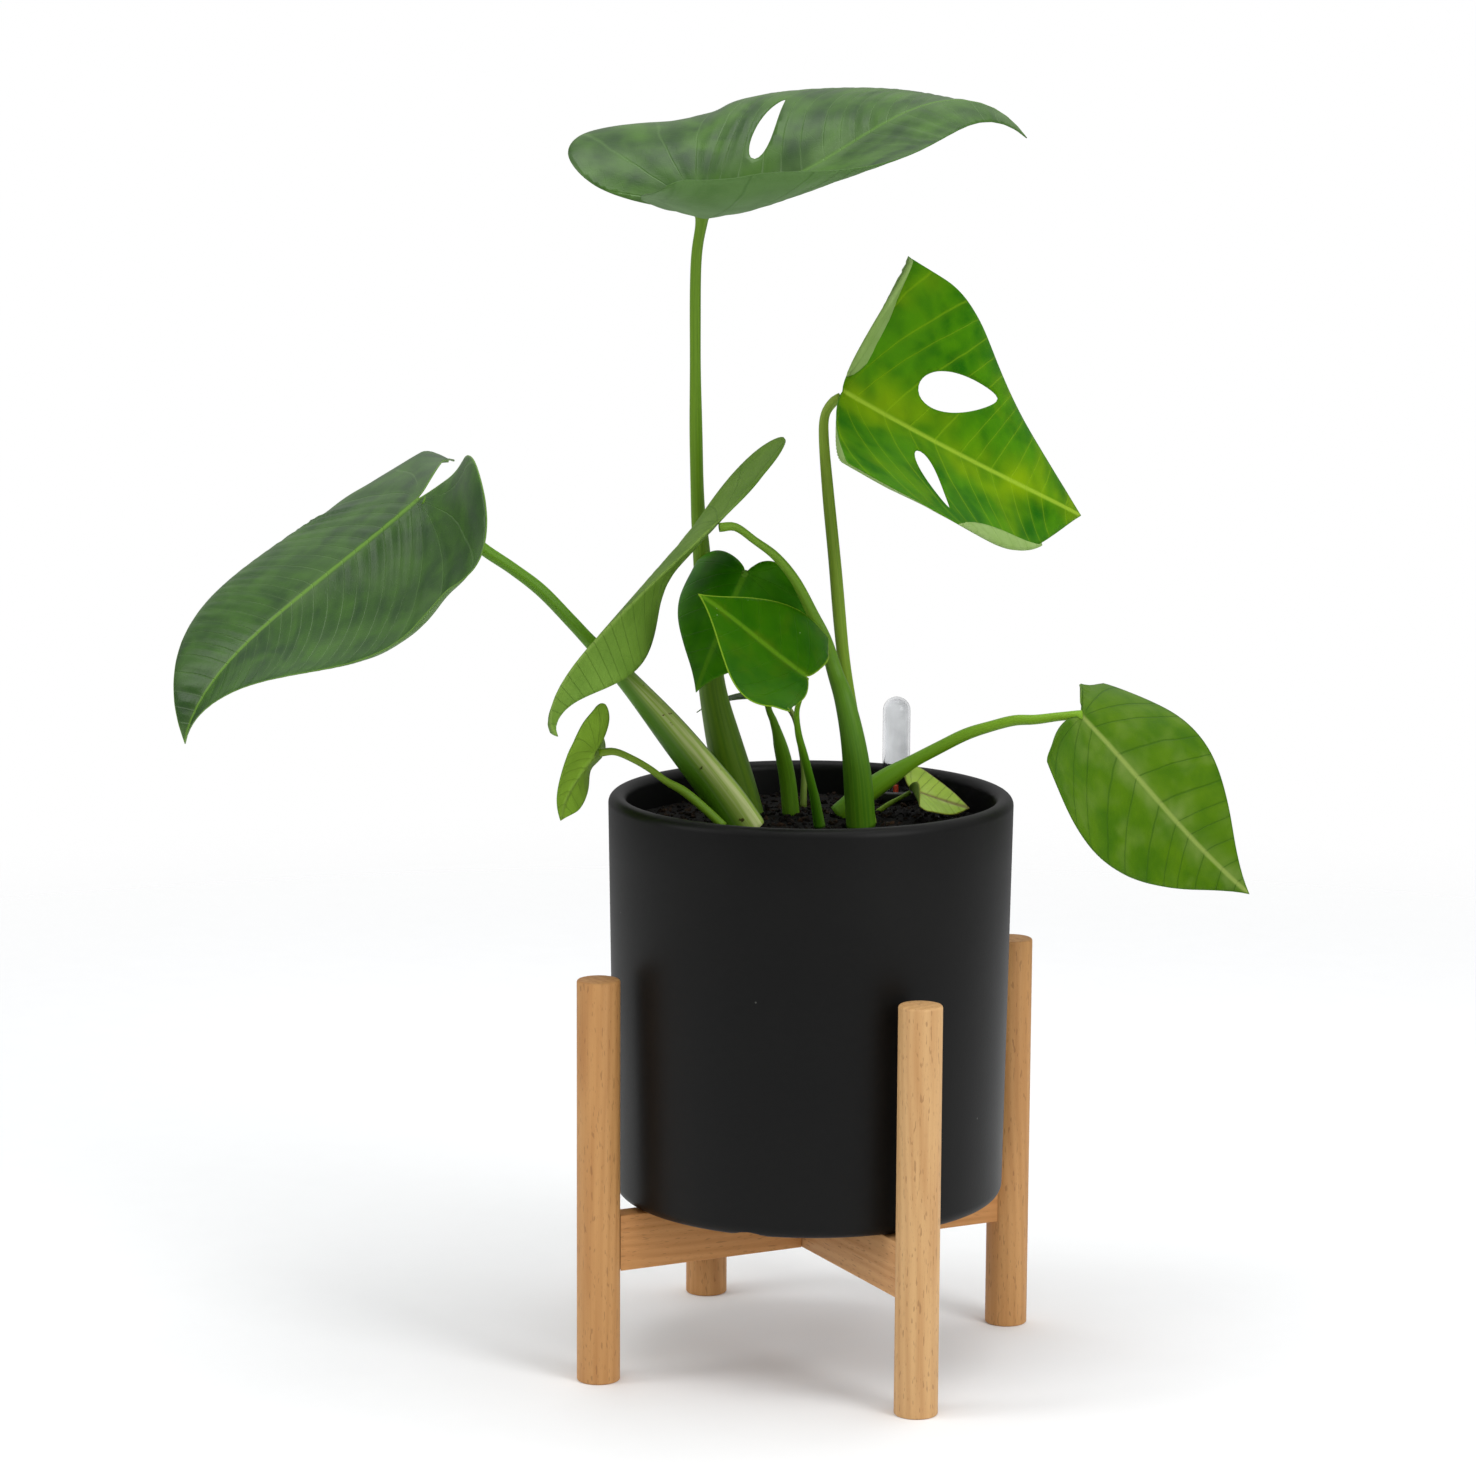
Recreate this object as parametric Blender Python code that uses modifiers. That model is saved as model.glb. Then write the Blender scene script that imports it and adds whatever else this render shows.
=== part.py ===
"""Potted monstera: a young ten-leaf plant in a matte black cylinder pot on a four-legged wooden stand.

Units are metres and degrees, +Z is up and the floor is z = 0. Everything is laid out about the pot's
axis and then moved by PLANT_SHIFT, so that the middle of the plant's whole footprint is at x = y = 0.
The rails of the stand run along the two diagonals of the X and Y axes.
"""
import math

import bmesh
import bpy
import numpy as np
from mathutils import Matrix, Vector, geometry

MM = 0.001
GAP = 0.3 * MM                      # clearance between pieces that touch
PLANT_SHIFT = Vector((47.3 * MM, 21.2 * MM, 0.0))

# Stand
LEG_RADIUS = 10.7 * MM
LEG_HEIGHT = 202.4 * MM
LEG_CIRCLE = 115.8 * MM             # radius of the circle through the four leg centres
LEG_CHAMFER = 1.0 * MM
LEG_ANGLES = (45, 135, 225, 315)
RAIL_BOTTOM = 55.5 * MM
RAIL_TOP = 83.7 * MM
RAIL_THICKNESS = 12.0 * MM
DOWEL_RADIUS = 3.0 * MM
DOWEL_LENGTH = 24.0 * MM
DOWEL_SPACING = 14.0 * MM

# Pot
TURN_STEPS = 48
POT_BASE = 84.0 * MM
POT_RIM = 286.0 * MM
POT_TOP_RADIUS = 100.5 * MM
POT_FOOT_RADIUS = 97.3 * MM
POT_WALL = 9.0 * MM
POT_FLOOR = 96.0 * MM
POT_CORNER = 6.0 * MM
FOOT_RECESS_RADIUS = 77.0 * MM
FOOT_RECESS = 2.0 * MM
NOTCH_WIDTH = 12.0 * MM
NOTCH_HEIGHT = 2.4 * MM

# False bottom over the water reservoir
PLATE_TOP = 122.0 * MM
PLATE_THICKNESS = 3.0 * MM
PLATE_RADIUS = 86.0 * MM
SKIRT_RADIUS = 76.0 * MM
SKIRT_WALL = 3.0 * MM
DRAIN_RADIUS = 4.0 * MM
DRAIN_CIRCLE = 45.0 * MM
DRAINS = 8
DRAIN_START = 17                    # angle of the first drain hole

# Soil
SOIL_MIDDLE = 273.0 * MM
SOIL_EDGE = 270.5 * MM
SOIL_BASE = 122.4 * MM
POCKET_SIDES = 14                   # the holes that the stalks fill
POCKET_RISE = 14.0 * MM

# Water-level gauge
GAUGE_X = 21.4 * MM
GAUGE_Y = 75.5 * MM
SLEEVE_RADIUS = 8.4 * MM
SLEEVE_BORE = 6.2 * MM
SLEEVE_BASE = 105.0 * MM
COLLAR_RADIUS = 10.8 * MM
COLLAR_TOP = 276.5 * MM
COLLAR_HEIGHT = 4.0 * MM
SHOULDER_RADIUS = 9.6 * MM
SHOULDER_HEIGHT = 1.6 * MM
SEAT_RADIUS = 7.3 * MM
SEAT_HEIGHT = 261.0 * MM
GUIDE_RADIUS = 2.0 * MM
GUIDE_THICKNESS = 4.0 * MM
DOME_RADIUS = 7.0 * MM
DOME_WALL = 1.0 * MM
DOME_TOP = 324.5 * MM
FLOAT_RADIUS = 5.6 * MM
FLOAT_BASE = 107.4 * MM
FLOAT_HEIGHT = 28.0 * MM
POINTER_RADIUS = 1.35 * MM
POINTER_BASE = 115.4 * MM
POINTER_TOP = 279.0 * MM

# Leaves
BLADE_THICKNESS = 0.5 * MM
ROOT_LENGTH = 11.0 * MM             # how far a stalk goes on into the soil

# Each blade: sizes in millimetres, angles in degrees. It starts at the point "at", where its stalk joins,
# and heads off at a compass angle (heading), climbing and rolled about its midrib. droop bends it down
# evenly, towards the tip, and at the very tip. In each half, width, lobe, reach, shoulder and belly scale
# the heart outline; fold lifts the half about the midrib, curl rounds it and margin rolls its edge, each
# with a value at the lobe, at the middle and at the tip. A hole is (along, across, length, width, angle).
LEAVES = {
    "top": dict(
        length=174, half_width=88, lobe=47, at=(-46, -35, 576), heading=19, climb=8, roll=-6,
        droop=(-69, 165, -38), sway=-2, twist=12, lobe_bend=-9,
        left=dict(width=1.00, lobe=1.42, reach=0.96, shoulder=-0.05, belly=0.27,
            fold=(72, 81, -19), curl=(-69, -92, -5), margin=(-8, 2, -4)),
        right=dict(width=1.06, lobe=0.59, reach=1.17, shoulder=0.24, belly=0.06,
            fold=(8, -21, -21), curl=(-12, 45, -19), margin=(4, 25, 5)),
        spacing=13, holes=((46, 34, 46, 10, 48),),
    ),
    "upper_right": dict(
        length=159, half_width=81, lobe=5, at=(17, -8, 487), heading=28, climb=-30, roll=69,
        droop=(25, 12, 1), sway=17, twist=-1, lobe_bend=-2,
        left=dict(width=0.95, lobe=0.69, reach=0.87, shoulder=0.05, belly=-0.02,
            fold=(20, -1, -16), curl=(-2, 8, -34), margin=(0, -6, -15)),
        right=dict(width=1.21, lobe=0.52, reach=1.08, shoulder=0.02, belly=-0.20,
            fold=(41, 33, -5), curl=(24, 33, 85), margin=(1, 16, 1)),
        spacing=12, holes=((61, 30, 54, 19, 20), (52, -30, 38, 11, -68)),
    ),
    "arching": dict(
        length=140, half_width=49, lobe=58, at=(-28, -63, 427), heading=227, climb=-38, roll=51,
        droop=(-10, 40, 51), sway=-16, twist=18, lobe_bend=-1,
        left=dict(width=1.06, lobe=1.05, reach=0.81, shoulder=-0.09, belly=-0.13,
            fold=(133, 137, 144), curl=(1, 18, 7), margin=(-18, 6, -21)),
        right=dict(width=1.06, lobe=0.96, reach=1.17, shoulder=0.02, belly=-0.16,
            fold=(47, 21, -93), curl=(-7, 14, 11), margin=(11, 5, 14)),
        spacing=11, holes=(),
    ),
    "left": dict(
        length=172, half_width=89, lobe=29, at=(-173, -89, 435), heading=191, climb=-41, roll=-25,
        droop=(-13, 50, -2), sway=11, twist=-19, lobe_bend=-15,
        left=dict(width=1.05, lobe=1.60, reach=0.94, shoulder=0.06, belly=0.00,
            fold=(28, -33, 27), curl=(-68, 47, 18), margin=(0, 36, 16)),
        right=dict(width=1.09, lobe=0.48, reach=0.84, shoulder=-0.06, belly=-0.07,
            fold=(-7, -5, 29), curl=(-34, -11, -86), margin=(-17, -31, -9)),
        spacing=12, holes=(),
    ),
    "lower_right": dict(
        length=129, half_width=60, lobe=8, at=(122, 62, 322), heading=12, climb=-45, roll=27,
        droop=(27, -15, -9), sway=15, twist=59, lobe_bend=-20,
        left=dict(width=0.96, lobe=0.85, reach=1.15, shoulder=-0.02, belly=0.13,
            fold=(-5, 9, -14), curl=(-44, -46, 13), margin=(-3, 0, -6)),
        right=dict(width=1.03, lobe=0.88, reach=1.01, shoulder=0.09, belly=-0.02,
            fold=(1, -8, 10), curl=(23, 29, 9), margin=(-1, 11, 1)),
        spacing=11, holes=(),
    ),
    "heart_back": dict(
        length=63, half_width=40, lobe=8, at=(-24, -33, 399), heading=-130, climb=-62, roll=-22,
        droop=(8, 3, 8), sway=-3, twist=-8, lobe_bend=-10,
        left=dict(width=0.94, lobe=1.22, reach=1.33, shoulder=-0.21, belly=0.26,
            fold=(5, -25, -1), curl=(-3, -33, -21), margin=(2, -12, 0)),
        right=dict(width=1.04, lobe=0.90, reach=1.13, shoulder=0.04, belly=0.08,
            fold=(-6, 5, -21), curl=(-29, -41, 15), margin=(-3, -13, -3)),
        spacing=8, holes=(),
    ),
    "heart_front": dict(
        length=66, half_width=41, lobe=6, at=(18, -65, 355), heading=196, climb=35, roll=-33,
        droop=(-20, 23, -6), sway=6, twist=-29, lobe_bend=-57,
        left=dict(width=1.08, lobe=0.93, reach=1.14, shoulder=0.10, belly=0.35,
            fold=(-8, 4, 31), curl=(53, 24, -2), margin=(-5, 5, 8)),
        right=dict(width=0.93, lobe=0.67, reach=1.35, shoulder=-0.10, belly=0.07,
            fold=(-3, 6, -15), curl=(-20, -23, -7), margin=(-4, -9, -1)),
        spacing=8, holes=(),
    ),
    "pale_back": dict(
        length=42, half_width=13, lobe=7, at=(-34, 48, 325), heading=200, climb=6, roll=12,
        droop=(26, 14, 0), sway=0, twist=0, lobe_bend=0,
        left=dict(width=1.00, lobe=1.00, reach=1.00, shoulder=0.00, belly=0.00,
            fold=(14, 12, 8), curl=(0, 0, 0), margin=(0, 0, 0)),
        right=dict(width=1.00, lobe=1.00, reach=1.00, shoulder=0.00, belly=0.00,
            fold=(14, 12, 8), curl=(0, 0, 0), margin=(0, 0, 0)),
        spacing=6, holes=(),
    ),
    "small_left": dict(
        length=38, half_width=36, lobe=18, at=(-89, -67, 312), heading=214, climb=-52, roll=40,
        droop=(5, 36, -7), sway=-2, twist=-10, lobe_bend=-27,
        left=dict(width=0.97, lobe=1.30, reach=0.93, shoulder=-0.30, belly=-0.15,
            fold=(14, 11, 9), curl=(2, -27, -32), margin=(-5, -9, -2)),
        right=dict(width=1.17, lobe=0.52, reach=0.87, shoulder=0.33, belly=-0.39,
            fold=(31, 13, -36), curl=(-20, 9, -4), margin=(8, 5, 4)),
        spacing=6, holes=(),
    ),
    "torn": dict(
        length=31, half_width=24, lobe=5, at=(43, 32, 285), heading=28, climb=-22, roll=20,
        droop=(-6, -1, 0), sway=0, twist=5, lobe_bend=3,
        left=dict(width=0.94, lobe=0.96, reach=1.00, shoulder=0.06, belly=-0.12,
            fold=(12, 4, 10), curl=(0, 3, -6), margin=(-1, 0, 0)),
        right=dict(width=1.06, lobe=0.84, reach=0.99, shoulder=-0.02, belly=-0.16,
            fold=(37, 14, -6), curl=(12, -9, 4), margin=(0, -1, -2)),
        spacing=6, holes=(),
    ),
}

# Each stalk: points (x, y, height, radius) in millimetres from the blade down to the soil.
STALKS = {
    "top": (
        (-45.5, -36.5, 573.5, 3.4), (-47, -34, 567.5, 2.7), (-51.5, -28.5, 548, 2.7),
        (-55, -19, 505.5, 2.7), (-57.5, -10, 460, 3.2), (-58.5, -4, 426, 3.5),
        (-58, -0.5, 407, 4.2), (-57, 5.5, 369, 5.5), (-55.5, 10, 336.5, 6.7),
        (-50.5, 14.5, 307.5, 8.5), (-44, 18, 282, 9.5), (-39, 18.5, 266, 9.1),
    ),
    "upper_right": (
        (15.5, -5.5, 484, 1.9), (11.5, -6.5, 481, 2.2), (8, -7.5, 474.5, 2.3),
        (7.5, -7, 462.5, 2.6), (9.5, -5.5, 435.5, 2.9), (12.5, -3.5, 402.5, 3.2),
        (16, -0.5, 358.5, 3.2), (20.5, 2, 323.5, 3.5), (25, 4.5, 288.5, 4.0),
        (28, 6, 270, 4.0),
    ),
    "arching": (
        (-27.5, -62, 424.5, 1.9), (-20.5, -58, 424.5, 1.9), (-12.5, -53.5, 418, 1.9),
        (-3.5, -48, 410, 2.2), (4.5, -42, 398, 2.4), (10, -30.5, 380, 2.9),
        (12.5, -18.5, 366, 3.4), (17.5, -16.5, 349, 3.9), (23.5, -20.5, 336.5, 4.9),
        (27.5, -19.5, 317.5, 6.1), (29, -15.5, 297, 6.9), (29.5, -11, 273.5, 7.4),
    ),
    "left": (
        (-170, -89, 434.5, 2.4), (-160, -84.5, 429, 2.7), (-145.5, -78, 412.5, 3.0),
        (-130.5, -71.5, 401, 2.9), (-117.5, -66, 390, 3.2), (-104.5, -60, 375, 3.2),
        (-95.5, -55.5, 364, 3.4), (-82.5, -50, 349.5, 4.9), (-67, -42.5, 329.5, 6.9),
        (-50.5, -35, 307, 8.8), (-37, -28.5, 287.5, 9.8), (-26.5, -23.5, 270, 10.4),
    ),
    "lower_right": (
        (122, 62, 323, 2.0), (111, 58, 322, 2.2), (100, 54, 320.5, 2.5),
        (90, 50.5, 320, 2.7), (79, 46.5, 317, 2.7), (67.5, 42, 313, 3.0),
        (54.5, 37, 306, 3.2), (41.5, 32, 298.5, 3.5), (30, 28, 290.5, 5.0),
        (18.5, 23.5, 281.5, 5.5), (8, 19.5, 272, 5.5),
    ),
    "heart_back": (
        (-24, -33.5, 399.5, 1.5), (-26, -23.5, 384.5, 1.5), (-26, -10.5, 358, 1.5),
        (-23.5, 2, 328.5, 1.6), (-21.5, 5.5, 320, 2.0), (-18.5, 10.5, 305, 3.2),
        (-16.5, 14.5, 289.5, 3.7), (-14.5, 15, 271, 4.0),
    ),
    "heart_front": (
        (18, -65.5, 354, 1.2), (16, -62.5, 348, 1.2), (12.5, -59, 341.5, 1.3),
        (10, -55, 334.5, 1.4), (9, -48.5, 323.5, 1.7), (9.5, -40.5, 311.5, 1.9),
        (10, -28.5, 293, 2.2), (9.5, -16, 273, 2.7),
    ),
    "pale_back": (
        (-33.5, 48, 324.5, 1.1), (-28, 48, 320.5, 1.3), (-24, 48, 314, 1.3),
        (-21, 46.5, 303, 1.4), (-18, 44.5, 288.5, 1.5), (-17, 40.5, 270.5, 1.8),
    ),
    "small_left": (
        (-87, -67.5, 312, 1.7), (-80, -64.5, 312.5, 1.7), (-72, -61.5, 309, 1.7),
        (-64, -58.5, 304, 1.7), (-56.5, -56, 298, 1.8), (-48.5, -53, 293, 2.2),
        (-39.5, -49.5, 285, 2.2), (-30, -46, 275.5, 2.2),
    ),
    "torn": (
        (38.5, 44.5, 281.5, 1.0), (33.5, 42.5, 278.5, 1.0), (28.5, 40, 275.5, 1.3),
        (23, 37.5, 271.5, 1.3),
    ),
}

# A half blade in the flat, from the notch where the stalk joins, round the lobe, to the tip. The first
# number runs along the midrib, in blade lengths (in lobe lengths where negative), and the second
# across it, in half widths.
HEART = (
    (0.0, 0.0), (-0.40, 0.06), (-0.80, 0.22), (-1.0, 0.46), (-0.86, 0.72), (-0.42, 0.92), (0.06, 1.0),
    (0.30, 0.93), (0.52, 0.72), (0.72, 0.44), (0.87, 0.19), (0.95, 0.065), (1.0, 0.0),
)
HEART_LOBE = 3                      # the point of HEART at the back of the lobe
CURVE_STEPS = 10                    # points between two control points of a smooth outline
BEND_STEPS = 24
LOBE_STEPS = 8
CROSS_STEPS = 10
MARGIN_START = 0.62                 # where the curl of the margin starts, across the half blade
HOLE_TAPER = 0.45                   # how much narrower a hole is at its outer end than at its inner end


# ---------------------------------------------------------------- scene, materials and small helpers
def clear_scene():
    for obj in list(bpy.data.objects):
        bpy.data.objects.remove(obj, do_unlink=True)


def new_collection(name):
    collection = bpy.data.collections.new(name)
    bpy.context.scene.collection.children.link(collection)
    return collection


def material(name, colour, roughness, metallic=0.0, alpha=1.0):
    made = bpy.data.materials.new(name)
    made.use_nodes = True
    shader = made.node_tree.nodes["Principled BSDF"]
    shader.inputs["Base Color"].default_value = (*colour, 1.0)
    shader.inputs["Roughness"].default_value = roughness
    shader.inputs["Metallic"].default_value = metallic
    shader.inputs["Alpha"].default_value = alpha
    return made


def add_object(name, data, look, collection):
    obj = bpy.data.objects.new(name, data)
    obj.location = PLANT_SHIFT
    collection.objects.link(obj)
    if look is not None:
        data.materials.append(look)
    return obj


def mesh_from(name, build):
    """A mesh filled by build(bm), with its faces turned outwards."""
    bm = bmesh.new()
    build(bm)
    bmesh.ops.recalc_face_normals(bm, faces=bm.faces)
    mesh = bpy.data.meshes.new(name)
    bm.to_mesh(mesh)
    bm.free()
    return mesh


def turned(name, profile, look, collection, steps=TURN_STEPS, centre=(0.0, 0.0)):
    """A profile of (radius, height) points turned about a vertical axis; one off the axis is closed up."""
    mesh = bpy.data.meshes.new(name)
    verts = [(radius, 0.0, height) for radius, height in profile]
    edges = [(k, k + 1) for k in range(len(verts) - 1)]
    if profile[0][0] > 0:
        edges.append((len(verts) - 1, 0))
    mesh.from_pydata(verts, edges, [])
    obj = add_object(name, mesh, look, collection)
    obj.location = PLANT_SHIFT + Vector((centre[0], centre[1], 0.0))
    screw = obj.modifiers.new("Turn", "SCREW")
    screw.axis = "Z"
    screw.angle = math.tau
    screw.steps = steps
    screw.render_steps = steps
    screw.use_merge_vertices = True
    screw.merge_threshold = 0.01 * MM
    return obj


def arc(centre, radius, start, end, steps):
    """Points of a circular arc in a profile, from angle start to angle end."""
    points = []
    for step in range(steps + 1):
        angle = math.radians(start + (end - start) * step / steps)
        points.append((centre[0] + radius * math.cos(angle), centre[1] + radius * math.sin(angle)))
    return points


def rod_mesh(name, start, end, radius, sides):
    """A round bar with flat ends between two points."""
    axis = end - start
    turn = axis.to_track_quat("Z", "Y").to_matrix().to_4x4()
    place = Matrix.Translation((start + end) / 2) @ turn

    def build(bm):
        bmesh.ops.create_cone(
            bm, cap_ends=True, segments=sides, radius1=radius, radius2=radius,
            depth=axis.length, matrix=place,
        )

    return mesh_from(name, build)


def box_mesh(name, size, place):
    def build(bm):
        bmesh.ops.create_cube(bm, size=1.0, matrix=place @ Matrix.Diagonal((*size, 1.0)))

    return mesh_from(name, build)


def cut(obj, cutter_mesh, cutters):
    """Take the shape of cutter_mesh out of obj."""
    cutter = add_object(cutter_mesh.name, cutter_mesh, None, cutters)
    cutter.hide_render = True
    cutter.display_type = "WIRE"
    boolean = obj.modifiers.new(cutter_mesh.name, "BOOLEAN")
    boolean.operation = "DIFFERENCE"
    boolean.solver = "EXACT"
    boolean.object = cutter


def on_circle(radius, angle, height=0.0):
    turn = math.radians(angle)
    return Vector((radius * math.cos(turn), radius * math.sin(turn), height))


# ---------------------------------------------------------------- stand
def dowel_ends(angle, height, clearance=0.0):
    """The two ends of a dowel between the leg at angle and its rail."""
    middle = LEG_CIRCLE - LEG_RADIUS
    half = DOWEL_LENGTH / 2 + clearance
    return on_circle(middle - half, angle, height), on_circle(middle + half, angle, height)


def dowel_heights():
    middle = (RAIL_BOTTOM + RAIL_TOP) / 2
    return middle - DOWEL_SPACING / 2, middle + DOWEL_SPACING / 2


def cut_dowel_holes(obj, angle, cutters):
    for number, height in enumerate(dowel_heights(), 1):
        start, end = dowel_ends(angle, height, GAP)
        name = f"{obj.name}_hole_{angle}_{number}"
        cut(obj, rod_mesh(name, start, end, DOWEL_RADIUS + GAP, 8), cutters)


def build_legs(wood, parts, cutters):
    for number, angle in enumerate(LEG_ANGLES, 1):
        foot = on_circle(LEG_CIRCLE, angle)
        top = foot + Vector((0.0, 0.0, LEG_HEIGHT))
        leg = add_object(f"leg_{number}", rod_mesh("leg", foot, top, LEG_RADIUS, 24), wood, parts)
        bevel = leg.modifiers.new("Chamfer", "BEVEL")
        bevel.width = LEG_CHAMFER
        bevel.segments = 1
        bevel.limit_method = "ANGLE"
        cut_dowel_holes(leg, angle, cutters)


def build_rails(wood, parts, cutters):
    """Two rails on edge, notched into each other at the middle and hollowed at the ends to the legs."""
    half = LEG_CIRCLE - 0.8 * LEG_RADIUS
    height = RAIL_TOP - RAIL_BOTTOM
    middle = (RAIL_TOP + RAIL_BOTTOM) / 2
    for name, angle, side in (("rail_upper", 45, -1), ("rail_lower", 135, 1)):
        turn = Matrix.Rotation(math.radians(angle), 4, "Z")
        place = Matrix.Translation((0.0, 0.0, middle)) @ turn
        rail = add_object(name, box_mesh(name, (2 * half, RAIL_THICKNESS, height), place), wood, parts)
        for end in (angle, angle + 180):
            foot = on_circle(LEG_CIRCLE, end)
            top = foot + Vector((0.0, 0.0, LEG_HEIGHT))
            cut(rail, rod_mesh(f"{name}_end_{end}", foot, top, LEG_RADIUS + GAP, 24), cutters)
            cut_dowel_holes(rail, end, cutters)
        notch = RAIL_THICKNESS + 2 * GAP
        depth = height / 2 + GAP / 2
        edge = RAIL_TOP if side > 0 else RAIL_BOTTOM
        lap = Matrix.Translation((0.0, 0.0, edge)) @ turn
        cut(rail, box_mesh(f"{name}_lap", (notch, 2 * RAIL_THICKNESS, 2 * depth), lap), cutters)


def build_dowels(wood, parts):
    for number, angle in enumerate(LEG_ANGLES, 1):
        for level, height in zip(("low", "high"), dowel_heights()):
            start, end = dowel_ends(angle, height)
            mesh = rod_mesh("dowel", start, end, DOWEL_RADIUS, 8)
            add_object(f"dowel_{number}_{level}", mesh, wood, parts)


# ---------------------------------------------------------------- pot, false bottom and soil
def inner_radius(height):
    """The radius of the pot's inside at a height above its floor's corner."""
    low = POT_FLOOR + POT_CORNER
    share = (height - low) / (POT_RIM - low)
    outside = POT_FOOT_RADIUS + (POT_TOP_RADIUS - POT_FOOT_RADIUS) * share
    return outside - POT_WALL


def build_pot(ceramic, parts, cutters):
    lip = POT_WALL / 2
    floor_corner = 8.0 * MM
    low_inside = inner_radius(POT_FLOOR + floor_corner)
    inside = arc((low_inside - floor_corner, POT_FLOOR + floor_corner), floor_corner, -90, 0, 3)
    rim = arc((POT_TOP_RADIUS - lip, POT_RIM - lip), lip, 180, 0, 6)
    foot = arc((POT_FOOT_RADIUS - POT_CORNER, POT_BASE + POT_CORNER), POT_CORNER, 0, -90, 4)
    recess = [
        (FOOT_RECESS_RADIUS + FOOT_RECESS, POT_BASE),
        (FOOT_RECESS_RADIUS, POT_BASE + FOOT_RECESS),
        (0.0, POT_BASE + FOOT_RECESS),
    ]
    profile = [(0.0, POT_FLOOR)] + inside + rim + foot + recess
    pot = turned("pot", profile, ceramic, parts)
    reach = POT_FOOT_RADIUS - FOOT_RECESS_RADIUS
    middle = Matrix.Translation((0.0, -(FOOT_RECESS_RADIUS + reach / 2 - 2 * MM), POT_BASE))
    cut(pot, box_mesh("pot_notch", (NOTCH_WIDTH, reach + 4 * MM, 2 * NOTCH_HEIGHT), middle), cutters)


def gauge_hole(name, radius, low, high):
    start = Vector((GAUGE_X, GAUGE_Y, low))
    end = Vector((GAUGE_X, GAUGE_Y, high))
    return rod_mesh(name, start, end, radius, 16)


def build_false_bottom(plastic, parts, cutters):
    under = PLATE_TOP - PLATE_THICKNESS
    foot = POT_FLOOR + GAP
    profile = [
        (0.0, PLATE_TOP), (PLATE_RADIUS, PLATE_TOP), (PLATE_RADIUS, under),
        (SKIRT_RADIUS + SKIRT_WALL, under), (SKIRT_RADIUS + SKIRT_WALL, foot),
        (SKIRT_RADIUS, foot), (SKIRT_RADIUS, under), (0.0, under),
    ]
    plate = turned("false_bottom", profile, plastic, parts, steps=32)
    for number in range(DRAINS):
        low = on_circle(DRAIN_CIRCLE, DRAIN_START + 360 * number / DRAINS, under - MM)
        high = low + Vector((0.0, 0.0, PLATE_THICKNESS + 2 * MM))
        cut(plate, rod_mesh(f"drain_{number + 1}", low, high, DRAIN_RADIUS, 8), cutters)
    cut(plate, gauge_hole("plate_gauge_hole", SLEEVE_RADIUS + 2 * GAP, POT_BASE, PLATE_TOP + MM), cutters)


def build_soil(mix, stalks, parts, cutters):
    edge = SOIL_EDGE
    profile = [
        (0.0, SOIL_MIDDLE), (30 * MM, SOIL_MIDDLE - 0.2 * MM), (70 * MM, SOIL_MIDDLE - 1.2 * MM),
        (inner_radius(edge) - 2 * GAP, edge), (inner_radius(SOIL_BASE) - 2 * GAP, SOIL_BASE),
        (0.0, SOIL_BASE),
    ]
    soil = turned("soil", profile, mix, parts)
    shoulder_top = PLATE_TOP + GAP + SHOULDER_HEIGHT
    cut(soil, gauge_hole("soil_gauge_hole", SLEEVE_RADIUS + GAP, SOIL_BASE - MM, SOIL_MIDDLE + MM), cutters)
    low_radius = SHOULDER_RADIUS + 2 * GAP
    low_hole = gauge_hole("soil_shoulder_hole", low_radius, SOIL_BASE - MM, shoulder_top + GAP)
    cut(soil, low_hole, cutters)
    for name, (start, end, radius) in stalks.items():
        way = (end - start).normalized()
        reach = (radius + GAP) / math.cos(math.pi / POCKET_SIDES)
        pocket = rod_mesh(f"{name}_pocket", start - way * POCKET_RISE, end + way * GAP, reach, POCKET_SIDES)
        cut(soil, pocket, cutters)


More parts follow.
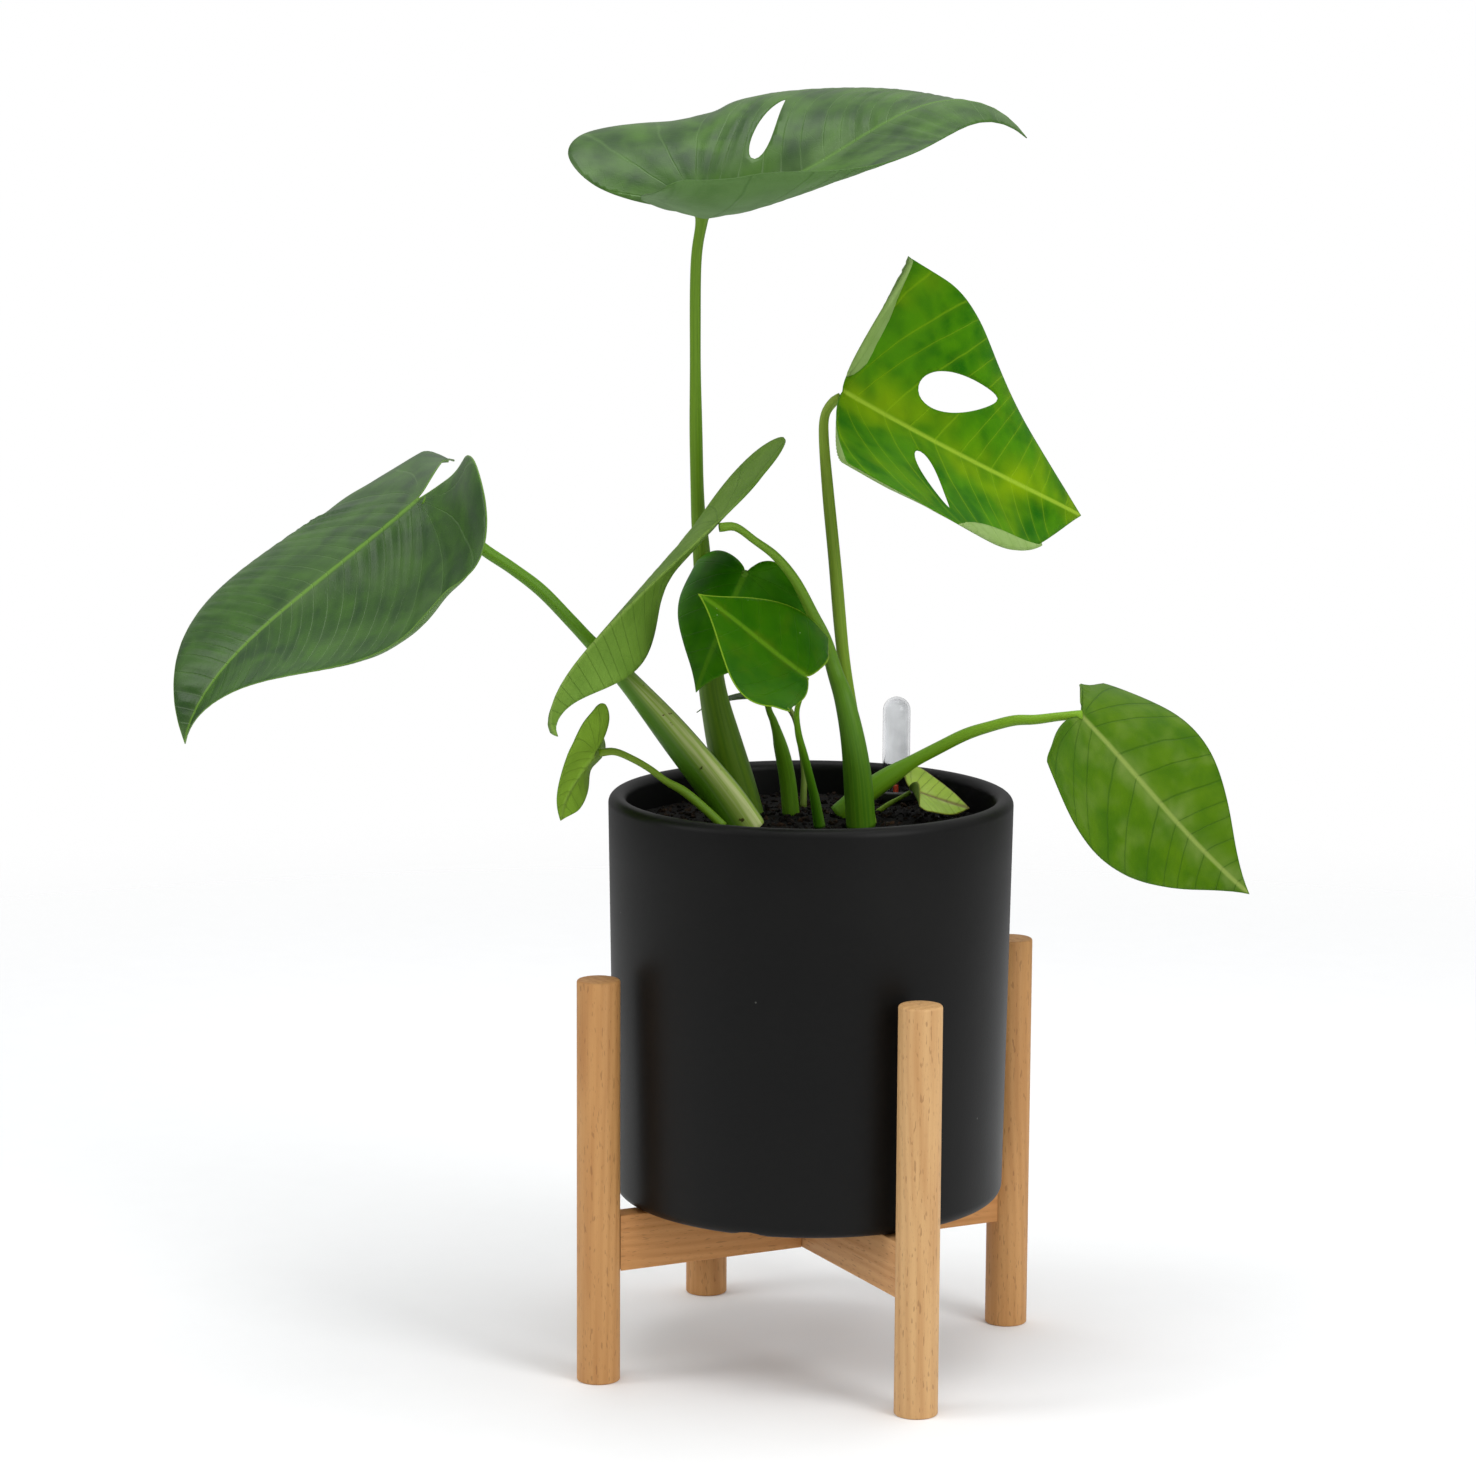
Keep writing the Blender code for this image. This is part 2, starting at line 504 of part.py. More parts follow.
# ---------------------------------------------------------------- water-level gauge
def build_gauge(black, clear, white, orange, parts, cutters):
    centre = (GAUGE_X, GAUGE_Y)
    shoulder = PLATE_TOP + GAP
    collar_under = COLLAR_TOP - COLLAR_HEIGHT
    guide_under = SEAT_HEIGHT - GUIDE_THICKNESS
    lip = SLEEVE_BASE + 2 * MM
    bevel = 0.8 * MM
    sleeve = [
        (SEAT_RADIUS, COLLAR_TOP), (COLLAR_RADIUS - bevel, COLLAR_TOP),
        (COLLAR_RADIUS, COLLAR_TOP - bevel), (COLLAR_RADIUS, collar_under),
        (SLEEVE_RADIUS, collar_under), (SLEEVE_RADIUS, shoulder + SHOULDER_HEIGHT),
        (SHOULDER_RADIUS, shoulder + SHOULDER_HEIGHT), (SHOULDER_RADIUS, shoulder),
        (SLEEVE_RADIUS, shoulder), (SLEEVE_RADIUS, SLEEVE_BASE),
        (SLEEVE_BORE - 2 * MM, SLEEVE_BASE), (SLEEVE_BORE - 2 * MM, lip),
        (SLEEVE_BORE, lip), (SLEEVE_BORE, guide_under), (GUIDE_RADIUS, guide_under),
        (GUIDE_RADIUS, SEAT_HEIGHT), (SEAT_RADIUS, SEAT_HEIGHT),
    ]
    turned("gauge_sleeve", sleeve, black, parts, steps=16, centre=centre)

    shoulder_height = DOME_TOP - DOME_RADIUS
    outside = arc((0.0, shoulder_height), DOME_RADIUS, 90, 0, 4)
    inside = arc((0.0, shoulder_height), DOME_RADIUS - DOME_WALL, 0, 90, 4)
    foot = SEAT_HEIGHT + GAP
    tube = outside + [(DOME_RADIUS, foot), (DOME_RADIUS - DOME_WALL, foot)] + inside
    turned("gauge_dome", tube, clear, parts, steps=16, centre=centre)

    hole = POINTER_RADIUS + GAP
    top = FLOAT_BASE + FLOAT_HEIGHT
    floor = POINTER_BASE - GAP
    block = [
        (hole, top), (FLOAT_RADIUS, top), (FLOAT_RADIUS, FLOAT_BASE), (0.0, FLOAT_BASE),
    ]
    turned("gauge_float", [(0.0, floor), (hole, floor)] + block, white, parts, steps=12, centre=centre)

    start = Vector((GAUGE_X, GAUGE_Y, POINTER_BASE))
    end = Vector((GAUGE_X, GAUGE_Y, POINTER_TOP))
    add_object("gauge_pointer", rod_mesh("pointer", start, end, POINTER_RADIUS, 10), orange, parts)


# ---------------------------------------------------------------- leaf blades
def smooth_line(points, steps):
    """A smooth line through all the given points, with steps points in each stretch."""
    given = np.array(points, float)
    ends = (2 * given[0] - given[1], 2 * given[-1] - given[-2])
    knots = np.vstack([ends[0], given, ends[1]])
    share = np.linspace(0, 1, steps, endpoint=False)[:, None]
    stretches = []
    for a, b, c, d in zip(knots, knots[1:], knots[2:], knots[3:]):
        square = 2 * a - 5 * b + 4 * c - d
        cubic = 3 * b - a - 3 * c + d
        stretches.append(b + 0.5 * ((c - a) * share + square * share**2 + cubic * share**3))
    return np.vstack(stretches + [given[-1:]])


def evenly(line, spacing):
    """The same line with its points about spacing apart."""
    lengths = np.r_[0, np.cumsum(np.linalg.norm(np.diff(line, axis=0), axis=1))]
    count = max(2, round(lengths[-1] / spacing))
    at = np.linspace(0, lengths[-1], count + 1)
    return np.stack([np.interp(at, lengths, line[:, k]) for k in range(line.shape[1])], axis=1)


def ease(share):
    share = np.clip(share, 0, 1)
    return share * share * (3 - 2 * share)


def three_way(share, values):
    """A value that eases from the lobe (share -1) through the middle of the blade to the tip (share 1)."""
    lobe, middle, tip = values
    back = lobe + (middle - lobe) * ease((share + 1) / 1.15)
    front = middle + (tip - middle) * ease((share - 0.15) / 0.85)
    return np.where(share < 0.15, back, front)


def half_outline(leaf, side):
    """The flat outline of one half blade: distance along the midrib and distance across it."""
    half = leaf[side]
    line = smooth_line(HEART, CURVE_STEPS)
    along = line[:, 0]
    across = line[:, 1]
    belly = half["belly"] * np.sin(np.pi * np.clip((along - 0.15) / 0.85, 0, 1))
    full = 1 + half["shoulder"] * ease(0.2 - along) + belly
    front = np.abs(along) ** half["reach"] * leaf["length"]
    back = along * leaf["lobe"] * half["lobe"]
    placed = np.where(along > 0, front, back)
    return np.stack([placed, across * full * leaf["half_width"] * half["width"]], axis=1) * MM


def turn_about(vector, axis, degrees):
    return Matrix.Rotation(math.radians(degrees), 3, axis) @ vector


def midrib(leaf):
    """Stations along the midrib: distance, place, and the blade's upward and leftward directions."""
    heading = math.radians(leaf["heading"])
    climb = math.radians(leaf["climb"])
    flat_way = Vector((math.cos(heading), math.sin(heading), 0.0))
    ahead = flat_way * math.cos(climb) + Vector((0.0, 0.0, math.sin(climb)))
    left = turn_about(Vector((-flat_way.y, flat_way.x, 0.0)), ahead, leaf["roll"])
    start = Vector(leaf["at"]) * MM
    lobe = leaf["lobe"] * max(leaf["left"]["lobe"], leaf["right"]["lobe"]) * MM

    def walk(length, steps, angles):
        place, tangent, leftward = start.copy(), ahead.copy(), left.copy()
        stations = []
        before = (0.0, 0.0, 0.0)
        for step in range(1, steps + 1):
            now = angles(step / steps)
            droop, sway, twist = [b - a for a, b in zip(before, now)]
            before = now
            tangent = turn_about(tangent, leftward, droop)
            upward = tangent.cross(leftward)
            tangent = turn_about(tangent, upward, sway)
            leftward = turn_about(turn_about(leftward, upward, sway), tangent, twist)
            place = place + tangent * length / steps
            stations.append((length * step / steps, place, tangent.cross(leftward), leftward))
        return stations

    def bend_ahead(share):
        even, late, last = leaf["droop"]
        droop = even * share + late * share**4 + last * share**12
        return droop, leaf["sway"] * share, leaf["twist"] * share

    def bend_back(share):
        return -leaf["lobe_bend"] * share**2, 0.0, 0.0

    stations = walk(-lobe, LOBE_STEPS, bend_back)[::-1]
    stations.append((0.0, start, ahead.cross(left), left))
    stations += walk(leaf["length"] * MM, BEND_STEPS, bend_ahead)
    return [np.array([station[k] for station in stations]) for k in range(4)]


def shape_half(leaf, side, flat):
    """Flat points (along, across) of one half blade bent to their places in space."""
    half = leaf[side]
    distance, places, upward, leftward = midrib(leaf)
    along = flat[:, 0]
    across = flat[:, 1]

    def at(values):
        return np.stack([np.interp(along, distance, values[:, k]) for k in range(3)], axis=1)

    lobe = max(leaf["lobe"] * half["lobe"], 0.1) * MM
    share = np.where(along > 0, along / (leaf["length"] * MM), along / lobe)
    fold = three_way(share, half["fold"])
    curl = three_way(share, half["curl"])
    margin = three_way(share, half["margin"])
    width = leaf["half_width"] * half["width"] * MM
    edge = half_outline(leaf, side)[HEART_LOBE * CURVE_STEPS:]
    reach = np.maximum(np.interp(along, np.maximum.accumulate(edge[:, 0]), edge[:, 1]), 0.1 * MM)
    outward = np.zeros_like(across)
    lift = np.zeros_like(across)
    for step in range(CROSS_STEPS):
        middle = across * (step + 0.5) / CROSS_STEPS
        near_edge = np.clip((middle / reach - MARGIN_START) / (1 - MARGIN_START), 0, 1)
        angle = np.radians(fold + curl * middle / width + margin * near_edge**2)
        outward += np.cos(angle) * across / CROSS_STEPS
        lift += np.sin(angle) * across / CROSS_STEPS
    sign = 1 if side == "left" else -1
    return at(places) + sign * at(leftward) * outward[:, None] + at(upward) * lift[:, None]


def inside(polygon, point):
    """Whether a point lies inside a polygon, by counting the edges to its right."""
    x, y = point
    found = False
    for (ax, ay), (bx, by) in zip(polygon, np.roll(polygon, -1, axis=0)):
        if (ay > y) != (by > y) and x < (bx - ax) * (y - ay) / (by - ay) + ax:
            found = not found
    return found


def clear_of(polygon, point, distance):
    """Whether a point keeps its distance from every edge of a polygon."""
    starts = polygon
    ways = np.roll(polygon, -1, axis=0) - starts
    share = np.sum((point - starts) * ways, axis=1) / np.maximum(np.sum(ways * ways, axis=1), 1e-12)
    nearest = starts + ways * np.clip(share, 0, 1)[:, None]
    return np.min(np.linalg.norm(point - nearest, axis=1)) > distance


def hole_outline(hole, steps=14):
    """A hole in the flat blade: an oval that narrows away from the midrib, as the leaf's own splits do."""
    along, across, length, width, angle = hole
    turn = math.radians(angle)
    points = []
    for step in range(steps):
        around = math.tau * step / steps
        out = length / 2 * math.cos(around)
        beside = width / 2 * math.sin(around) * (1 - HOLE_TAPER * math.cos(around))
        points.append((
            (along + out * math.cos(turn) - beside * math.sin(turn)) * MM,
            (across + out * math.sin(turn) + beside * math.cos(turn)) * MM,
        ))
    return np.array(points)


def loop_edges(start, count):
    return [(int(start + k), int(start + (k + 1) % count)) for k in range(count)]


def flat_blade(leaf, spacing):
    """The flat blade as triangles: points with the left half on the positive side, and faces."""
    left = evenly(half_outline(leaf, "left"), spacing)
    right = evenly(half_outline(leaf, "right"), spacing) * (1, -1)
    border = np.vstack([left, right[-2:0:-1]])
    rib = np.linspace(0, leaf["length"] * MM, round(leaf["length"] * MM / spacing) + 1)[1:-1]
    rib = np.stack([rib, np.zeros_like(rib)], axis=1)
    holes = [hole_outline(hole) for hole in leaf["holes"]]
    low, high = border.min(axis=0), border.max(axis=0)
    rows = round((high[1] - low[1]) / spacing) + 1
    columns = round((high[0] - low[0]) / spacing) + 1
    below = round(-low[1] / spacing)
    inner = []
    for row in range(rows):
        for column in range(columns):
            along = low[0] + (column + 0.5 * (row % 2)) * spacing
            point = np.array((along, (row - below) * spacing))
            if not inside(border, point) or abs(point[1]) < 0.5 * spacing:
                continue
            if all(clear_of(line, point, 0.5 * spacing) for line in [border] + holes):
                inner.append(point)
    points = [border, rib] + holes + [np.array(inner)]
    starts = np.cumsum([len(group) for group in points])
    chain = [0] + list(range(len(border), starts[1])) + [len(left) - 1]
    edges = loop_edges(0, len(border)) + [(int(a), int(b)) for a, b in zip(chain, chain[1:])]
    for hole, start in zip(holes, starts[1:]):
        edges += loop_edges(start, len(hole))
    verts = [Vector(point) for point in np.vstack(points)]
    made, _, faces, *_ = geometry.delaunay_2d_cdt(verts, edges, [], 0, 1e-7)
    made = np.array([tuple(vert) for vert in made])
    kept = []
    for face in faces:
        middle = made[list(face)].mean(axis=0)
        if inside(border, middle) and not any(inside(hole, middle) for hole in holes):
            kept.append(list(face))
    return made, kept


def build_blade(name, leaf, look, parts):
    flat, faces = flat_blade(leaf, leaf["spacing"] * MM)
    on_left = flat[:, 1] >= 0
    upright = flat * (1, 0) + np.abs(flat) * (0, 1)
    places = np.where(
        on_left[:, None], shape_half(leaf, "left", upright), shape_half(leaf, "right", upright)
    )
    mesh = bpy.data.meshes.new(name)
    mesh.from_pydata([tuple(place) for place in places], [], faces)
    blade = add_object(name, mesh, look, parts)
    plump = blade.modifiers.new("Thickness", "SOLIDIFY")
    plump.thickness = BLADE_THICKNESS
    plump.offset = 0.0
    return blade


# ---------------------------------------------------------------- leaf stalks
def stalk_top(leaf, radius):
    """Where a stalk ends: just under the blade, at the notch."""
    distance, places, upward, _ = midrib(leaf)
    station = int(np.argmin(np.abs(distance)))
    return Vector(places[station]) - Vector(upward[station]) * (radius + BLADE_THICKNESS + GAP)


def build_stalk(name, leaf, route, look, parts):
    """A stalk as a round tube that swells towards its base, and its straight end in the soil."""
    points = [Vector(point[:3]) * MM for point in route]
    radii = [point[3] * MM for point in route]
    points[0] = stalk_top(leaf, radii[0])
    way = (points[-1] - points[-2]).normalized()
    root = points[-1] + way * ROOT_LENGTH
    curve = bpy.data.curves.new(name, "CURVE")
    curve.dimensions = "3D"
    curve.bevel_depth = 1.0
    curve.bevel_resolution = 2
    curve.use_fill_caps = True
    spline = curve.splines.new("POLY")
    spline.points.add(len(points))
    for knot, place, radius in zip(spline.points, points + [root], radii + radii[-1:]):
        knot.co = (*place, 1.0)
        knot.radius = radius
    add_object(name, curve, look, parts)
    return points[-1], root, radii[-1]


# ---------------------------------------------------------------- the whole object
def main():
    clear_scene()
    parts = new_collection("potted_monstera")
    cutters = new_collection("cutters")
    wood = material("beech", (0.60, 0.36, 0.18), 0.55)
    ceramic = material("black_ceramic", (0.018, 0.018, 0.019), 0.62)
    black = material("black_plastic", (0.012, 0.012, 0.012), 0.45)
    clear = material("clear_plastic", (0.90, 0.93, 0.93), 0.08, alpha=0.35)
    white = material("white_foam", (0.85, 0.85, 0.82), 0.6)
    orange = material("orange_plastic", (0.75, 0.09, 0.03), 0.4)
    mix = material("potting_mix", (0.020, 0.014, 0.010), 0.95)
    green = material("leaf_green", (0.060, 0.170, 0.035), 0.42)
    stem = material("stalk_green", (0.130, 0.290, 0.050), 0.45)

    build_legs(wood, parts, cutters)
    build_rails(wood, parts, cutters)
    build_dowels(wood, parts)
    build_pot(ceramic, parts, cutters)
    build_false_bottom(black, parts, cutters)
    roots = {}
    for name, leaf in LEAVES.items():
        build_blade(f"leaf_{name}", leaf, green, parts)
        roots[name] = build_stalk(f"stalk_{name}", leaf, STALKS[name], stem, parts)
    build_soil(mix, roots, parts, cutters)
    build_gauge(black, clear, white, orange, parts, cutters)


main()
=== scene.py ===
"""Potted monstera: the looks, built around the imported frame.

Ten leaves and their stalks, the crumbly soil, the matte black pot, the beech stand and the water-level
gauge. Everything is in metres, in the frame's own axes, and is placed from the pot's axis.
"""

import math
import random

import bmesh
import bpy
import numpy as np
from mathutils import Matrix, Vector, geometry, noise


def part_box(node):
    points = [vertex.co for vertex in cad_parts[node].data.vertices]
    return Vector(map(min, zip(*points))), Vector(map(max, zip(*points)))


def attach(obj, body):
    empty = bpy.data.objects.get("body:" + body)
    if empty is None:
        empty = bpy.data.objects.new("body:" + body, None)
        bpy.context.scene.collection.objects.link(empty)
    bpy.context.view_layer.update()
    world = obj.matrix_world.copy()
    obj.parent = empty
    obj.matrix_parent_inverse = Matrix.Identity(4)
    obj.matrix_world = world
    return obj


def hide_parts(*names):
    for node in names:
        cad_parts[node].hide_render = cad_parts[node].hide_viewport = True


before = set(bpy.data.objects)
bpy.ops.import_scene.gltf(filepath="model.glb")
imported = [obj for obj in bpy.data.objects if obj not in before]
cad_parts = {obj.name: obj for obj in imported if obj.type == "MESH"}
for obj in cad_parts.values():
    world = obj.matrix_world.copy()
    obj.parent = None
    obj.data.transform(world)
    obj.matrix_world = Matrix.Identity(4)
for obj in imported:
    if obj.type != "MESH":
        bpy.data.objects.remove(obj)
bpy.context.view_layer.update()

MM = 0.001
BODY = "potted_plant"
FLOAT = "float"
pot_low, pot_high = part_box("pot")
CENTRE = Vector(((pot_low.x + pot_high.x) / 2, (pot_low.y + pot_high.y) / 2, 0.0))

# Camera and room
CAMERA_PLACE = CENTRE + Vector((0.6845, -2.1478, 0.692))
CAMERA_TURN = 18.6                  # degrees, as are the tilt and the roll
CAMERA_TILT = 9.53
CAMERA_ROLL = 0.31
LENS = 112.6
FLOOR_FADE = (0.8, 1.5)             # where the floor starts to fade into the white, and where it ends
SKY_LOW = 0.33                      # how bright the sky is at the horizon
SKY_HIGH = 0.92                     # how bright it is overhead
AIM = (CENTRE.x, CENTRE.y, 0.25)
SOFTBOXES = {                       # place and size in metres, and power in watts
    "overhead": ((0.1, -0.1, 2.2), (1.3, 1.3), 14.0),
    "right_softbox": ((2.0, -0.9, 1.4), (0.9, 1.6), 21.0),
    "left_softbox": ((-1.9, -1.3, 1.3), (0.9, 1.6), 14.0),
}

# Stand
LEG_RADIUS = 10.7 * MM
LEG_CIRCLE = 115.8 * MM
LEG_ANGLES = (45, 135, 225, 315)
RAIL_THICKNESS = 12.0 * MM
RING_GAP = 4.6 * MM                 # between the rings in the wood
GAP = 0.3 * MM                      # left free where one piece fits into another

# Pot
POT_SIDES = 192
POT_WALL = 9.0 * MM
POT_FLOOR = 12.0 * MM
POT_FOOT_RADIUS = 97.3 * MM
POT_CORNER = 6.0 * MM
FOOT_RECESS_RADIUS = 77.0 * MM
FOOT_RECESS = 2.0 * MM
NOTCH_RISE = 2.4 * MM
NOTCH_REACH = 9.0 * MM

# Soil
SOIL_RINGS = 66
SOIL_SIDES = 200
SOIL_SINK = 1.4 * MM                # how far the soil's mean level lies under its highest crumbs
SOIL_DISH = 2.2 * MM                # how much lower the soil is at the pot's wall
CRUMBS = 2200

# Gauge
SLEEVE_RADIUS = 8.4 * MM
SLEEVE_BORE = 6.2 * MM
COLLAR_HEIGHT = 4.0 * MM
DOME_WALL = 1.0 * MM

# Leaves
BLADE_THICKNESS = 0.5 * MM
MESH_STEP = 2.4                     # spacing of a big blade's mesh, in millimetres
LEAST_STATIONS = 34                 # mesh spacings along a small blade
VEIN_LEAN = 68                      # degrees between the midrib and a side vein
VEIN_ARCH = 0.0045                  # how much side veins curve on, per millimetre
FAN_GAP = 22                        # degrees between the veins of a lobe
RIB_DIP = 0.25 * MM                 # how deep the midrib lies in the upper side
RIB_KEEL = 1.1 * MM                 # how far it stands out below
CURVE_STEPS = 10
BEND_STEPS = 24
LOBE_STEPS = 8
CROSS_STEPS = 10
MARGIN_START = 0.62                 # share of a half blade's width past which its margin rolls
HOLE_TAPER = 0.45                   # how much narrower than an oval a hole's outer end is
HEART_LOBE = 3                      # the outline's point that lies furthest back
# The half outline of a blade: along the midrib, back from -1 and on to 1, and out from it, as shares.
HEART = (
    (0.0, 0.0), (-0.40, 0.06), (-0.80, 0.22), (-1.0, 0.46), (-0.86, 0.72), (-0.42, 0.92), (0.06, 1.0),
    (0.30, 0.93), (0.52, 0.72), (0.72, 0.44), (0.87, 0.19), (0.95, 0.065), (1.0, 0.0),
)

# Each blade: sizes in millimetres, angles in degrees. It starts at the point "at", where its stalk
# joins, and heads off at an angle about the vertical (heading), climbing and rolled about its midrib.
# droop bends it down evenly, towards the tip, and at the very tip. In each half, width, lobe, reach,
# shoulder and belly scale the heart outline; fold lifts the half about the midrib, curl rounds it and
# margin rolls its edge, each with a value at the lobe, at the middle and at the tip. A hole is
# (along, across, length, width, angle).
LEAVES = {
    "top": dict(
        length=174, half_width=88, lobe=47, at=(-46, -35, 576), heading=19, climb=8, roll=-6,
        droop=(-69, 165, -38), sway=-2, twist=12, lobe_bend=-9,
        left=dict(width=1.00, lobe=1.42, reach=0.96, shoulder=-0.05, belly=0.27,
            fold=(72, 81, -19), curl=(-69, -92, -5), margin=(-8, 2, -4)),
        right=dict(width=1.06, lobe=0.59, reach=1.17, shoulder=0.24, belly=0.06,
            fold=(8, -21, -21), curl=(-12, 45, -19), margin=(4, 25, 5)),
        holes=((46, 34, 46, 10, 48),),
    ),
    "upper_right": dict(
        length=159, half_width=81, lobe=5, at=(17, -8, 487), heading=28, climb=-30, roll=69,
        droop=(25, 12, 1), sway=17, twist=-1, lobe_bend=-2,
        left=dict(width=0.95, lobe=0.69, reach=0.87, shoulder=0.05, belly=-0.02,
            fold=(20, -1, -16), curl=(-2, 8, -34), margin=(0, -6, -15)),
        right=dict(width=1.21, lobe=0.52, reach=1.08, shoulder=0.02, belly=-0.20,
            fold=(41, 33, -5), curl=(24, 33, 85), margin=(1, 16, 1)),
        holes=((61, 30, 54, 19, 20), (52, -30, 38, 11, -68)),
    ),
    "arching": dict(
        length=140, half_width=49, lobe=58, at=(-28, -63, 427), heading=227, climb=-38, roll=51,
        droop=(-10, 40, 51), sway=-16, twist=18, lobe_bend=-1,
        left=dict(width=1.06, lobe=1.05, reach=0.81, shoulder=-0.09, belly=-0.13,
            fold=(133, 137, 144), curl=(1, 18, 7), margin=(-18, 6, -21)),
        right=dict(width=1.06, lobe=0.96, reach=1.17, shoulder=0.02, belly=-0.16,
            fold=(47, 21, -93), curl=(-7, 14, 11), margin=(11, 5, 14)),
        holes=(),
    ),
    "left": dict(
        length=172, half_width=89, lobe=29, at=(-173, -89, 435), heading=191, climb=-41, roll=-25,
        droop=(-13, 50, -2), sway=11, twist=-19, lobe_bend=-15,
        left=dict(width=1.05, lobe=1.60, reach=0.94, shoulder=0.06, belly=0.00,
            fold=(28, -33, 27), curl=(-68, 47, 18), margin=(0, 36, 16)),
        right=dict(width=1.09, lobe=0.48, reach=0.84, shoulder=-0.06, belly=-0.07,
            fold=(-7, -5, 29), curl=(-34, -11, -86), margin=(-17, -31, -9)),
        holes=(),
    ),
    "lower_right": dict(
        length=129, half_width=60, lobe=8, at=(122, 62, 322), heading=12, climb=-45, roll=27,
        droop=(27, -15, -9), sway=15, twist=59, lobe_bend=-20,
        left=dict(width=0.96, lobe=0.85, reach=1.15, shoulder=-0.02, belly=0.13,
            fold=(-5, 9, -14), curl=(-44, -46, 13), margin=(-3, 0, -6)),
        right=dict(width=1.03, lobe=0.88, reach=1.01, shoulder=0.09, belly=-0.02,
            fold=(1, -8, 10), curl=(23, 29, 9), margin=(-1, 11, 1)),
        holes=(),
    ),
    "heart_back": dict(
        length=63, half_width=40, lobe=8, at=(-24, -33, 399), heading=-130, climb=-62, roll=-22,
        droop=(8, 3, 8), sway=-3, twist=-8, lobe_bend=-10,
        left=dict(width=0.94, lobe=1.22, reach=1.33, shoulder=-0.21, belly=0.26,
            fold=(5, -25, -1), curl=(-3, -33, -21), margin=(2, -12, 0)),
        right=dict(width=1.04, lobe=0.90, reach=1.13, shoulder=0.04, belly=0.08,
            fold=(-6, 5, -21), curl=(-29, -41, 15), margin=(-3, -13, -3)),
        holes=(),
    ),
    "heart_front": dict(
        length=66, half_width=41, lobe=6, at=(18, -65, 355), heading=196, climb=35, roll=-33,
        droop=(-20, 23, -6), sway=6, twist=-29, lobe_bend=-57,
        left=dict(width=1.08, lobe=0.93, reach=1.14, shoulder=0.10, belly=0.35,
            fold=(-8, 4, 31), curl=(53, 24, -2), margin=(-5, 5, 8)),
        right=dict(width=0.93, lobe=0.67, reach=1.35, shoulder=-0.10, belly=0.07,
            fold=(-3, 6, -15), curl=(-20, -23, -7), margin=(-4, -9, -1)),
        holes=(),
    ),
    "pale_back": dict(
        length=42, half_width=13, lobe=7, at=(-34, 48, 325), heading=200, climb=6, roll=12,
        droop=(26, 14, 0), sway=0, twist=0, lobe_bend=0,
        left=dict(width=1.00, lobe=1.00, reach=1.00, shoulder=0.00, belly=0.00,
            fold=(14, 12, 8), curl=(0, 0, 0), margin=(0, 0, 0)),
        right=dict(width=1.00, lobe=1.00, reach=1.00, shoulder=0.00, belly=0.00,
            fold=(14, 12, 8), curl=(0, 0, 0), margin=(0, 0, 0)),
        holes=(),
    ),
    "small_left": dict(
        length=38, half_width=36, lobe=18, at=(-89, -67, 312), heading=214, climb=-52, roll=40,
        droop=(5, 36, -7), sway=-2, twist=-10, lobe_bend=-27,
        left=dict(width=0.97, lobe=1.30, reach=0.93, shoulder=-0.30, belly=-0.15,
            fold=(14, 11, 9), curl=(2, -27, -32), margin=(-5, -9, -2)),
        right=dict(width=1.17, lobe=0.52, reach=0.87, shoulder=0.33, belly=-0.39,
            fold=(31, 13, -36), curl=(-20, 9, -4), margin=(8, 5, 4)),
        holes=(),
    ),
    "torn": dict(
        length=31, half_width=24, lobe=5, at=(43, 32, 285), heading=28, climb=-22, roll=20,
        droop=(-6, -1, 0), sway=0, twist=5, lobe_bend=3,
        left=dict(width=0.94, lobe=0.96, reach=1.00, shoulder=0.06, belly=-0.12,
            fold=(12, 4, 10), curl=(0, 3, -6), margin=(-1, 0, 0)),
        right=dict(width=1.06, lobe=0.84, reach=0.99, shoulder=-0.02, belly=-0.16,
            fold=(37, 14, -6), curl=(12, -9, 4), margin=(0, -1, -2)),
        holes=(),
    ),
}

